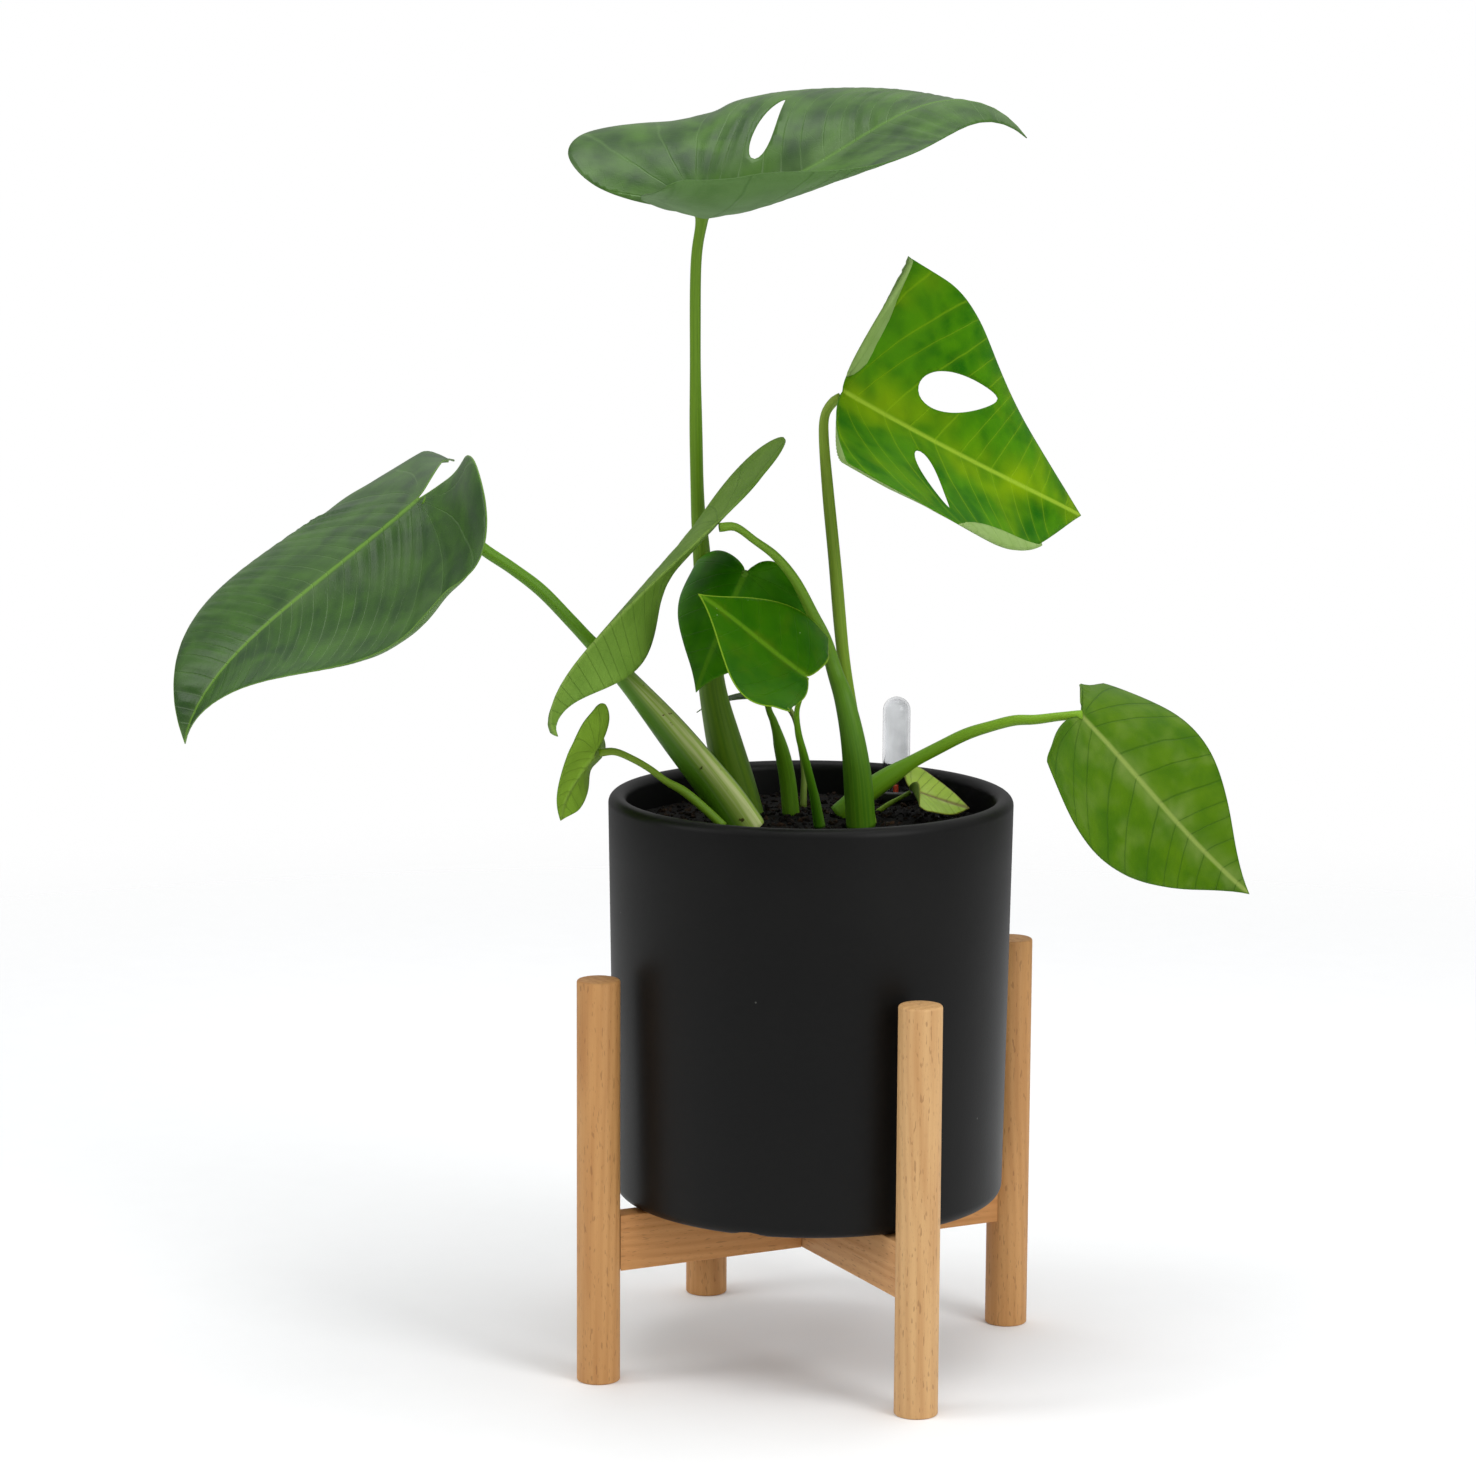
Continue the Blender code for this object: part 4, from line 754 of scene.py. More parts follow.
def make_crossbars(looks):
    """Two bars on edge, halved into each other and hollowed to the legs."""
    low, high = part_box("rail_upper")
    height = high.z - low.z
    middle = (high.z + low.z) / 2
    reach = LEG_CIRCLE - 0.8 * LEG_RADIUS
    for name, angle, side in (("upper", 45, -1), ("lower", 135, 1)):
        bar = start(
            f"crossbar_{name}", bpy.ops.mesh.primitive_cube_add, size=1.0,
            location=CENTRE + Vector((0.0, 0.0, middle)), rotation=(0.0, 0.0, math.radians(angle)),
            scale=(2 * reach, RAIL_THICKNESS, height),
        )
        bpy.ops.mesh.select_all(action="SELECT")
        bpy.ops.mesh.bevel(offset=0.7 * MM, segments=2, affect="EDGES")
        stop(bar)
        for end in (angle, angle + 180):
            place = on_circle(LEG_CIRCLE, end, middle)
            apply_cut(bar, cylinder_cutter(LEG_RADIUS + GAP, place, 1.2 * height))
        notch = RAIL_THICKNESS + 2 * GAP
        edge = high.z if side > 0 else low.z
        bpy.ops.mesh.primitive_cube_add(
            size=1.0, location=CENTRE + Vector((0.0, 0.0, edge)),
            rotation=(0.0, 0.0, math.radians(angle)), scale=(notch, 2 * RAIL_THICKNESS, height + GAP),
        )
        apply_cut(bar, bpy.context.object)
        own(bar, BODY, [f"rail_{name}"], looks[name])


# ---------------------------------------------------------------- pot
def make_planter(glaze):
    """The pot: one turned wall with a round rim and foot, and a small notch under its front edge."""
    base, rim = pot_low.z, pot_high.z
    rim_radius = (pot_high.x - pot_low.x) / 2
    lip = POT_WALL / 2
    floor = base + POT_FLOOR
    corner = 8.0 * MM
    inner = POT_FOOT_RADIUS - POT_WALL
    recess = FOOT_RECESS_RADIUS
    inside_wall = arc((inner - corner, floor + corner), corner, -90, 0, 6)
    lip_round = arc((rim_radius - lip, rim - lip), lip, 180, 0, 16)
    taper = POT_FOOT_RADIUS - rim_radius
    drop = rim - lip - base - POT_CORNER
    outside = [(rim_radius + taper * step / 8, rim - lip - drop * step / 8) for step in range(1, 8)]
    foot_round = arc((POT_FOOT_RADIUS - POT_CORNER, base + POT_CORNER), POT_CORNER, 0, -90, 12)
    ring = [(recess + FOOT_RECESS, base), (recess, base + FOOT_RECESS), (0.0, base + FOOT_RECESS)]
    profile = [(0.0, floor)] + inside_wall + lip_round + outside + foot_round + ring
    pot = revolve("planter", profile, CENTRE, POT_SIDES, 50)
    for vert in pot.data.vertices:
        beside = (vert.co.x - CENTRE.x) / NOTCH_REACH
        if vert.co.z < base + NOTCH_RISE and vert.co.y < CENTRE.y and abs(beside) < 1:
            bell = (0.5 + 0.5 * math.cos(math.pi * beside)) ** 0.6
            vert.co.z = max(vert.co.z, base + NOTCH_RISE * bell)
    own(pot, BODY, ["pot"], glaze)


# ---------------------------------------------------------------- soil
def make_soil(bed_look, crumb_look):
    """A bed with a lumpy top, and loose crumbs and bark bits on it."""
    low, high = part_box("soil")
    radius = (high.x - low.x) / 2
    verts = [(CENTRE.x, CENTRE.y, low.z)]
    faces = []

    def top_height(x, y, share):
        spot = Vector((x, y, 0.0))
        lumps = noise.fractal(spot * 85, 1.0, 2.0, 4) * 1.1 * MM
        grains = noise.noise(spot * 520) * 0.5 * MM
        return high.z - SOIL_SINK - SOIL_DISH * share**3 + lumps + grains

    for ring in range(SOIL_RINGS + 1):
        share = ring / SOIL_RINGS
        for side in range(SOIL_SIDES):
            turn = math.tau * side / SOIL_SIDES
            x = CENTRE.x + radius * share * math.cos(turn)
            y = CENTRE.y + radius * share * math.sin(turn)
            verts.append((x, y, min(top_height(x, y, share), high.z)))
    foot = len(verts)
    for side in range(SOIL_SIDES):
        turn = math.tau * side / SOIL_SIDES
        x = CENTRE.x + 0.94 * radius * math.cos(turn)
        y = CENTRE.y + 0.94 * radius * math.sin(turn)
        verts.append((x, y, low.z))
    for ring in range(SOIL_RINGS):
        for side in range(SOIL_SIDES):
            after = (side + 1) % SOIL_SIDES
            inner, outer = 1 + ring * SOIL_SIDES, 1 + (ring + 1) * SOIL_SIDES
            faces.append((inner + side, outer + side, outer + after, inner + after))
    for side in range(SOIL_SIDES):
        after = (side + 1) % SOIL_SIDES
        edge = 1 + SOIL_RINGS * SOIL_SIDES
        faces.append((edge + side, foot + side, foot + after, edge + after))
        faces.append((foot + side, 0, foot + after))
    bed = mesh_piece("soil_bed", verts, faces)
    face_outwards(bed, join=True)
    own(bed, BODY, ["soil"], bed_look)

    draw = random.Random(11)
    bpy.ops.object.select_all(action="DESELECT")
    bpy.ops.mesh.primitive_ico_sphere_add(subdivisions=1, radius=1.0)
    pattern = bpy.context.object
    shape = np.array([vert.co for vert in pattern.data.vertices])
    pattern_faces = np.array([face.vertices for face in pattern.data.polygons])
    bpy.data.objects.remove(pattern, do_unlink=True)
    crumb_verts, crumb_faces = [], []
    for _ in range(CRUMBS):
        out = radius * 0.985 * math.sqrt(draw.random())
        turn = draw.uniform(0, math.tau)
        x, y = CENTRE.x + out * math.cos(turn), CENTRE.y + out * math.sin(turn)
        size = 0.5 * MM + 1.3 * MM * draw.random() ** 3
        rough = np.array([[draw.uniform(0.7, 1.25)] for _ in shape])
        stretch = np.array([draw.uniform(0.6, 1.7), draw.uniform(0.6, 1.2), draw.uniform(0.45, 0.9)])
        angle = draw.uniform(0, math.tau)
        tilt = Matrix.Rotation(angle, 3, Vector([draw.gauss(0, 1) for _ in range(3)]))
        points = (shape * rough * stretch * size) @ np.array(tilt).T
        height = min(top_height(x, y, out / radius) + 0.3 * size, high.z)
        crumb_faces += [tuple(face + len(crumb_verts)) for face in pattern_faces]
        crumb_verts += [tuple(point + (x, y, height)) for point in points]
    crumbs = mesh_piece("soil_crumbs", crumb_verts, crumb_faces, smooth=False)
    own(crumbs, BODY, [], crumb_look)


def face_outwards(piece, join=False):
    """Turn all faces outwards, and join doubled points if asked."""
    mesh = bmesh.new()
    mesh.from_mesh(piece.data)
    if join:
        bmesh.ops.remove_doubles(mesh, verts=mesh.verts, dist=0.001 * MM)
    bmesh.ops.recalc_face_normals(mesh, faces=mesh.faces)
    mesh.to_mesh(piece.data)
    mesh.free()


# ---------------------------------------------------------------- gauge
def revolve(name, profile, place, sides, smooth=40):
    """Spin a profile of (radius, height) points about a vertical axis through place."""
    bpy.ops.object.select_all(action="DESELECT")
    bpy.ops.mesh.primitive_plane_add(size=1.0)
    piece = bpy.context.object
    piece.name = name
    piece.data.name = name
    bpy.ops.object.mode_set(mode="EDIT")
    bpy.ops.mesh.select_all(action="SELECT")
    bpy.ops.mesh.delete(type="VERT")
    mesh = bmesh.from_edit_mesh(piece.data)
    line = [mesh.verts.new((place.x + radius, place.y, height)) for radius, height in profile]
    for first, second in zip(line, line[1:]):
        mesh.edges.new((first, second))
    if profile[0][0] > 0:
        mesh.edges.new((line[-1], line[0]))
    bmesh.update_edit_mesh(piece.data)
    bpy.ops.mesh.select_all(action="SELECT")
    bpy.ops.mesh.spin(steps=sides, angle=math.tau, center=place, axis=(0.0, 0.0, 1.0))
    bpy.ops.mesh.select_all(action="SELECT")
    bpy.ops.mesh.remove_doubles(threshold=0.02 * MM)
    bpy.ops.mesh.normals_make_consistent(inside=False)
    return stop(piece, smooth)


def arc(centre, radius, first, last, steps):
    """Points of a circular arc in a profile, between two angles in degrees."""
    turns = [math.radians(first + (last - first) * step / steps) for step in range(steps + 1)]
    return [(centre[0] + radius * math.cos(turn), centre[1] + radius * math.sin(turn)) for turn in turns]


def make_gauge(black, clear, white, orange):
    low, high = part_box("gauge_dome")
    sleeve_low, sleeve_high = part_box("gauge_sleeve")
    tube_low, collar_top = sleeve_low.z, sleeve_high.z
    place = Vector(((low.x + high.x) / 2, (low.y + high.y) / 2, 0.0))
    dome_radius = (high.x - low.x) / 2
    collar_radius = (sleeve_high.x - sleeve_low.x) / 2
    seat = low.z - GAP
    collar = arc((collar_radius - 1.0 * MM, collar_top - 1.0 * MM), 1.0 * MM, 90, 0, 4)
    step_down = collar_top - COLLAR_HEIGHT
    shelf = tube_low + 2 * MM
    lip = SLEEVE_BORE - 2 * MM
    sleeve = [(dome_radius + GAP, collar_top - 0.4 * MM), (dome_radius + 2 * GAP, collar_top)]
    sleeve += collar + [
        (collar_radius, step_down), (SLEEVE_RADIUS, step_down), (SLEEVE_RADIUS, tube_low),
        (lip, tube_low), (lip, shelf), (SLEEVE_BORE, shelf), (SLEEVE_BORE, seat - 4 * MM),
        (2.0 * MM, seat - 4 * MM), (2.0 * MM, seat), (dome_radius + GAP, seat),
    ]
    own(revolve("gauge_tube", sleeve, place, 48), BODY, ["gauge_sleeve"], black)

    middle = high.z - dome_radius
    outside = arc((0.0, middle), dome_radius, 90, 0, 10)
    inside = arc((0.0, middle), dome_radius - DOME_WALL, 0, 90, 10)
    dome = outside + [(dome_radius, low.z), (dome_radius - DOME_WALL, low.z)] + inside
    own(revolve("gauge_window", dome, place, 48), BODY, ["gauge_dome"], clear)

    low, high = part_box("gauge_float")
    tip_low, tip_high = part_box("gauge_pointer")
    radius = (high.x - low.x) / 2
    tip = (tip_high.x - tip_low.x) / 2
    hole = tip + GAP
    edge = 0.8 * MM
    block = [(0.0, tip_low.z - GAP), (hole, tip_low.z - GAP), (hole, high.z), (radius - edge, high.z),
             (radius, high.z - edge), (radius, low.z + edge), (radius - edge, low.z), (0.0, low.z)]
    own(revolve("float_block", block, place, 32), FLOAT, ["gauge_float"], white)
    rod = [(0.0, tip_high.z)] + arc((tip - 0.4 * MM, tip_high.z - 0.4 * MM), 0.4 * MM, 90, 0, 3)
    rod += [(tip, tip_low.z), (0.0, tip_low.z)]
    own(revolve("float_rod", rod, place, 24), FLOAT, ["gauge_pointer"], orange)


# ---------------------------------------------------------------- leaf blades
def smooth_line(points, steps):
    """A smooth line through all the given points, with steps points in each stretch."""
    given = np.array(points, float)
    ends = (2 * given[0] - given[1], 2 * given[-1] - given[-2])
    knots = np.vstack([ends[0], given, ends[1]])
    share = np.linspace(0, 1, steps, endpoint=False)[:, None]
    stretches = []
    for a, b, c, d in zip(knots, knots[1:], knots[2:], knots[3:]):
        square = 2 * a - 5 * b + 4 * c - d
        cubic = 3 * b - a - 3 * c + d
        stretches.append(b + 0.5 * ((c - a) * share + square * share**2 + cubic * share**3))
    return np.vstack(stretches + [given[-1:]])


def evenly(line, spacing):
    """The same line with its points about spacing apart."""
    lengths = np.r_[0, np.cumsum(np.linalg.norm(np.diff(line, axis=0), axis=1))]
    count = max(2, round(lengths[-1] / spacing))
    at = np.linspace(0, lengths[-1], count + 1)
    return np.stack([np.interp(at, lengths, line[:, k]) for k in range(line.shape[1])], axis=1)


def ease(share):
    share = np.clip(share, 0, 1)
    return share * share * (3 - 2 * share)


def three_way(share, values):
    """A value that eases from the lobe (share -1) through the middle to the tip (share 1)."""
    lobe, middle, tip = values
    back = lobe + (middle - lobe) * ease((share + 1) / 1.15)
    front = middle + (tip - middle) * ease((share - 0.15) / 0.85)
    return np.where(share < 0.15, back, front)


def half_outline(leaf, side):
    """The flat outline of one half blade: distance along the midrib and distance across it."""
    half = leaf[side]
    line = smooth_line(HEART, CURVE_STEPS)
    along, across = line[:, 0], line[:, 1]
    belly = half["belly"] * np.sin(np.pi * np.clip((along - 0.15) / 0.85, 0, 1))
    full = 1 + half["shoulder"] * ease(0.2 - along) + belly
    front = np.abs(along) ** half["reach"] * leaf["length"]
    back = along * leaf["lobe"] * half["lobe"]
    placed = np.where(along > 0, front, back)
    return np.stack([placed, across * full * leaf["half_width"] * half["width"]], axis=1) * MM


def turn_about(vector, axis, degrees):
    return Matrix.Rotation(math.radians(degrees), 3, axis) @ vector


def midrib(leaf):
    """Stations along the midrib: distance, place, and the blade's upward and leftward directions."""
    heading = math.radians(leaf["heading"])
    climb = math.radians(leaf["climb"])
    flat_way = Vector((math.cos(heading), math.sin(heading), 0.0))
    ahead = flat_way * math.cos(climb) + Vector((0.0, 0.0, math.sin(climb)))
    left = turn_about(Vector((-flat_way.y, flat_way.x, 0.0)), ahead, leaf["roll"])
    first = Vector(leaf["at"]) * MM + CENTRE
    lobe = leaf["lobe"] * max(leaf["left"]["lobe"], leaf["right"]["lobe"]) * MM

    def walk(length, steps, angles):
        place, tangent, leftward = first.copy(), ahead.copy(), left.copy()
        stations = []
        before = (0.0, 0.0, 0.0)
        for step in range(1, steps + 1):
            now = angles(step / steps)
            droop, sway, twist = [b - a for a, b in zip(before, now)]
            before = now
            tangent = turn_about(tangent, leftward, droop)
            upward = tangent.cross(leftward)
            tangent = turn_about(tangent, upward, sway)
            leftward = turn_about(turn_about(leftward, upward, sway), tangent, twist)
            place = place + tangent * length / steps
            stations.append((length * step / steps, place, tangent.cross(leftward), leftward))
        return stations

    def bend_ahead(share):
        even, late, last = leaf["droop"]
        droop = even * share + late * share**4 + last * share**12
        return droop, leaf["sway"] * share, leaf["twist"] * share

    def bend_back(share):
        return -leaf["lobe_bend"] * share**2, 0.0, 0.0

    stations = walk(-lobe, LOBE_STEPS, bend_back)[::-1]
    stations.append((0.0, first, ahead.cross(left), left))
    stations += walk(leaf["length"] * MM, BEND_STEPS, bend_ahead)
    return [np.array([station[k] for station in stations]) for k in range(4)]


def shape_half(leaf, side, flat):
    """Flat points (along, across) of one half blade bent to their places in space."""
    half = leaf[side]
    distance, places, upward, leftward = midrib(leaf)
    along, across = flat[:, 0], flat[:, 1]

    def at(values):
        return np.stack([np.interp(along, distance, values[:, k]) for k in range(3)], axis=1)

    lobe = max(leaf["lobe"] * half["lobe"], 0.1) * MM
    share = np.where(along > 0, along / (leaf["length"] * MM), along / lobe)
    fold, curl, margin = [three_way(share, half[key]) for key in ("fold", "curl", "margin")]
    width = leaf["half_width"] * half["width"] * MM
    edge = half_outline(leaf, side)[HEART_LOBE * CURVE_STEPS:]
    reach = np.maximum(np.interp(along, np.maximum.accumulate(edge[:, 0]), edge[:, 1]), 0.1 * MM)
    outward = np.zeros_like(across)
    lift = np.zeros_like(across)
    for step in range(CROSS_STEPS):
        middle = across * (step + 0.5) / CROSS_STEPS
        near_edge = np.clip((middle / reach - MARGIN_START) / (1 - MARGIN_START), 0, 1)
        angle = np.radians(fold + curl * middle / width + margin * near_edge**2)
        outward += np.cos(angle) * across / CROSS_STEPS
        lift += np.sin(angle) * across / CROSS_STEPS
    sign = 1 if side == "left" else -1
    return at(places) + sign * at(leftward) * outward[:, None] + at(upward) * lift[:, None]


def inside(polygon, points):
    """Which points lie inside a polygon, by counting the edges to their right."""
    after = np.roll(polygon, -1, axis=0)
    x, y = points[:, 0][:, None], points[:, 1][:, None]
    crosses = (polygon[:, 1] > y) != (after[:, 1] > y)
    rise = np.where(after[:, 1] == polygon[:, 1], 1.0, after[:, 1] - polygon[:, 1])
    at = polygon[:, 0] + (after[:, 0] - polygon[:, 0]) * (y - polygon[:, 1]) / rise
    return np.sum(crosses & (x < at), axis=1) % 2 == 1


def distance_to(polygon, points):
    """How far each point is from the nearest edge of a polygon."""
    ways = np.roll(polygon, -1, axis=0) - polygon
    from_start = points[:, None, :] - polygon[None]
    share = np.sum(from_start * ways, axis=2) / np.maximum(np.sum(ways * ways, axis=1), 1e-14)
    away = from_start - ways * np.clip(share, 0, 1)[:, :, None]
    return np.min(np.linalg.norm(away, axis=2), axis=1)


def hole_outline(hole, spacing):
    """A hole in the flat blade: an oval that narrows towards its outer end."""
    along, across, length, width, angle = hole
    turn = math.radians(angle)
    around = np.linspace(0, math.tau, 48, endpoint=False)
    out = length / 2 * np.cos(around)
    beside = width / 2 * np.sin(around) * (1 - HOLE_TAPER * np.cos(around))
    x = along + out * math.cos(turn) - beside * math.sin(turn)
    y = across + out * math.sin(turn) + beside * math.cos(turn)
    oval = np.stack([x, y], axis=1) * MM
    return evenly(np.vstack([oval, oval[:1]]), spacing)[:-1]


def loop_edges(first, count):
    return [(int(first + k), int(first + (k + 1) % count)) for k in range(count)]


def flat_blade(leaf, spacing):
    """The flat blade as triangles: its points, the left half positive, its faces and its borders."""
    left = evenly(half_outline(leaf, "left"), spacing)
    right = evenly(half_outline(leaf, "right"), spacing) * (1, -1)
    border = np.vstack([left, right[-2:0:-1]])
    rib = np.linspace(0, leaf["length"] * MM, round(leaf["length"] * MM / spacing) + 1)[1:-1]
    rib = np.stack([rib, np.zeros_like(rib)], axis=1)
    holes = [hole_outline(hole, spacing) for hole in leaf["holes"]]
    low, high = border.min(axis=0), border.max(axis=0)
    rows = np.arange(round(low[1] / spacing), round(high[1] / spacing) + 1)
    columns = np.arange(round((high[0] - low[0]) / spacing) + 1)
    row, column = np.meshgrid(rows, columns)
    beside = low[0] + (column + 0.5 * (row % 2)) * spacing
    inner = np.stack([beside, row * spacing], axis=2).reshape(-1, 2)
    inner = inner[inside(border, inner) & (np.abs(inner[:, 1]) > 0.5 * spacing)]
    for line in [border] + holes:
        inner = inner[distance_to(line, inner) > 0.5 * spacing]
    points = [border, rib] + holes + [inner]
    starts = np.cumsum([len(group) for group in points])
    chain = [0] + list(range(len(border), starts[1])) + [len(left) - 1]
    edges = loop_edges(0, len(border)) + [(int(a), int(b)) for a, b in zip(chain, chain[1:])]
    for hole, first in zip(holes, starts[1:]):
        edges += loop_edges(first, len(hole))
    verts = [Vector(point) for point in np.vstack(points)]
    made, _, faces, *_ = geometry.delaunay_2d_cdt(verts, edges, [], 0, 1e-7)
    made = np.array([tuple(vert) for vert in made])
    faces = np.array([face for face in faces if len(face) == 3])
    middles = made[faces].mean(axis=1)
    kept = inside(border, middles)
    for hole in holes:
        kept &= ~inside(hole, middles)
    return made, faces[kept], [border] + holes


def vein_phase(flat, gap):
    """A number that is whole on each side vein: veins lean off the midrib, and fan out in the lobes."""
    lean = 1 / math.tan(math.radians(VEIN_LEAN))
    along, beside = flat[:, 0] / MM, np.abs(flat[:, 1]) / MM
    straightened = along - VEIN_ARCH * beside**2
    leaves_at = straightened - beside * lean
    fan = np.degrees(np.arctan2(beside, straightened))
    uneven = 0.30 * np.sin(leaves_at / 17 + 1.0) + 0.12 * np.sin(leaves_at / 6.1)
    in_lobe = (VEIN_LEAN - fan) / FAN_GAP + 0.30 * math.sin(1.0)
    return np.where(leaves_at > 0, leaves_at / gap + uneven, in_lobe)


# Margins rolled back over the upper side: the half blade, the stretch of its border from the stalk round
# to the tip, as shares of its length, and the greatest width of the roll in millimetres.
ROLLS = {
    "upper_right": (("left", 0.03, 0.285, 24), ("right", 0.56, 0.85, 16)),
    "lower_right": (("left", 0.03, 0.17, 3),),
}
ROLL_TURN = 174                     # degrees
ROLL_BEND = 3.6 * MM                # how much of the roll is bent; the rest lies straight
ROLL_STEPS = 12
ROLL_HALF = 0.2 * MM                # half the thickness of a roll
INWARD = 2.0 * MM                   # how far in from the border the blade's slope is measured


def rolled_margin(leaf, roll, gap):
    """A strip of margin bent back over the upper side.

    Gives its points, their flat places, vein numbers and distances from the edge, and its faces.
    """
    side, first, last, width = roll
    border = evenly(half_outline(leaf, side), MESH_STEP * MM)
    border = border[round(first * len(border)):round(last * len(border)) + 1]
    count = len(border)
    way = np.gradient(border, axis=0)
    outward = np.stack([-way[:, 1], way[:, 0]], axis=1)
    outward /= np.linalg.norm(outward, axis=1)[:, None]
    at_edge = shape_half(leaf, side, border)
    edge_way = np.gradient(at_edge, axis=0)
    away = at_edge - shape_half(leaf, side, np.abs(border - outward * INWARD))
    away -= edge_way * (np.sum(away * edge_way, axis=1) / np.sum(edge_way**2, axis=1))[:, None]
    away /= np.linalg.norm(away, axis=1)[:, None]
    upward = np.cross(edge_way, away) * (1 if side == "left" else -1)
    upward /= np.linalg.norm(upward, axis=1)[:, None]
    share = np.linspace(0, 1, count)
    widths = width * MM * np.sin(np.pi * share) ** 0.6 * (0.75 + 0.25 * np.sin(5 * share))
    step = widths / ROLL_STEPS
    place = at_edge - away * 0.1 * MM
    rows, flats = [], []
    for k in range(ROLL_STEPS + 1):
        turn = np.radians(ROLL_TURN * np.minimum(1, k * step / ROLL_BEND))
        forward = away * np.cos(turn)[:, None] + upward * np.sin(turn)[:, None]
        across = upward * np.cos(turn)[:, None] - away * np.sin(turn)[:, None]
        rows.append((place - across * ROLL_HALF, place + across * ROLL_HALF))
        flats.append(border + outward * (k * step)[:, None])
        place = place + forward * step[:, None]
    layers = [np.vstack([row[layer] for row in rows]) for layer in (0, 1)]
    flats = np.vstack(flats) * ((1, 1) if side == "left" else (1, -1))
    cells = len(layers[0])

    def face(*corners):
        """A face through corners given as layer, row and place along the strip."""
        return [layer * cells + k * count + at for layer, k, at in corners]

    faces = []
    for k in range(ROLL_STEPS):
        for at in range(count - 1):
            faces.append(face((0, k, at), (0, k, at + 1), (0, k + 1, at + 1), (0, k + 1, at)))
            faces.append(face((1, k, at), (1, k + 1, at), (1, k + 1, at + 1), (1, k, at + 1)))
        for at in (0, count - 1):
            faces.append(face((0, k, at), (0, k + 1, at), (1, k + 1, at), (1, k, at)))
    for k in (0, ROLL_STEPS):
        for at in range(count - 1):
            faces.append(face((0, k, at), (0, k, at + 1), (1, k, at + 1), (1, k, at)))
    flats = np.vstack([flats, flats])
    spread = np.tile(np.repeat(np.arange(ROLL_STEPS + 1), count) * np.tile(step, ROLL_STEPS + 1), 2)
    rim = np.tile(widths, 2 * (ROLL_STEPS + 1)) - spread
    return np.vstack(layers), flats, vein_phase(flats, gap), rim, faces


def add_rolls(blade, name, leaf, paint):
    """Join the rolled margins of a leaf to its blade."""
    for number, roll in enumerate(ROLLS.get(name, ())):
        points, flats, phase, rim, faces = rolled_margin(leaf, roll, paint["gap"])
        strip = mesh_piece(f"roll_{name}_{number}", points, faces)
        write_attributes(strip, {
            "along": flats[:, 0] / MM, "across": flats[:, 1] / MM, "vein": phase, "edge": rim / MM,
        })
        face_outwards(strip)
        for material in blade.data.materials:
            strip.data.materials.append(material)
        strip.data.polygons.foreach_set("material_index", [1] * len(faces))
        bpy.ops.object.select_all(action="DESELECT")
        strip.select_set(True)
        blade.select_set(True)
        bpy.context.view_layer.objects.active = blade
        bpy.ops.object.join()


def make_blade(name, leaf, paint):
    """One leaf: its top skin, its underside and the thin edge between, with ribs and puckered panels."""
    spacing = min(MESH_STEP, leaf["length"] / LEAST_STATIONS) * MM
    flat, faces, borders = flat_blade(leaf, spacing)
    upright = np.stack([flat[:, 0], np.abs(flat[:, 1])], axis=1)
    on_left = flat[:, 1] >= 0
    places = np.where(
        on_left[:, None], shape_half(leaf, "left", upright), shape_half(leaf, "right", upright)
    )
    sheet = bpy.data.meshes.new("sheet")
    sheet.from_pydata([tuple(place) for place in places], [], [tuple(face) for face in faces])
    normals = np.array([vert.normal for vert in sheet.vertices])
    bpy.data.meshes.remove(sheet)

    phase = vein_phase(flat, paint["gap"])
    edge = np.min([distance_to(line, flat) for line in borders], axis=0)
    beside = np.abs(flat[:, 1])
    from_vein = np.abs(phase - np.round(phase)) * 2
    panel = ease(from_vein) - 0.5
    fade = ease(edge / (9 * MM)) * ease(beside / (6 * MM))
    swell = [0.55 + 0.9 * noise.noise(Vector((x, y, 0.0)) * 22) for x, y in flat]
    pucker = paint["quilt"] * MM * panel * fade * np.array(swell)
    thin = np.clip(1 - flat[:, 0] / (leaf["length"] * MM), 0, 1) * ease(edge / (3 * MM))
    rib = np.exp(-((beside / (1.6 * MM)) ** 2)) * thin
    half = BLADE_THICKNESS / 2
    top = places + normals * (pucker + half - RIB_DIP * rib)[:, None]
    under = places + normals * (pucker - half - RIB_KEEL * rib)[:, None]

    count = len(places)
    edges = [pair for a, b, c in faces for pair in ((a, b), (b, c), (c, a))]
    both_ways = set(edges)
    rim = [(b, a, a + count, b + count) for a, b in edges if (b, a) not in both_ways]
    under_faces = [(c + count, b + count, a + count) for a, b, c in faces]
    blade = mesh_piece(f"blade_{name}", np.vstack([top, under]), [*faces, *under_faces, *rim])
    blade.data.materials.append(leaf_look(f"leaf_face_{name}", paint, False))
    blade.data.materials.append(leaf_look(f"leaf_back_{name}", paint, True))
    sides = [0] * len(faces) + [1] * len(under_faces) + [0] * len(rim)
    blade.data.polygons.foreach_set("material_index", sides)
    write_attributes(blade, {
        "along": np.tile(flat[:, 0] / MM, 2), "across": np.tile(flat[:, 1] / MM, 2),
        "vein": np.tile(phase, 2), "edge": np.tile(edge / MM, 2),
    })
    add_rolls(blade, name, leaf, paint)
    own(blade, BODY, [f"leaf_{name}"])


# ---------------------------------------------------------------- leaf stalks
STALK_SIDES = 28
STALK_STEP = 2.0 * MM
RIDGE_WIDTH = 26                    # degrees round the stalk, as are the next two
GROOVE_WIDTH = 16
WING_WIDTH = 34

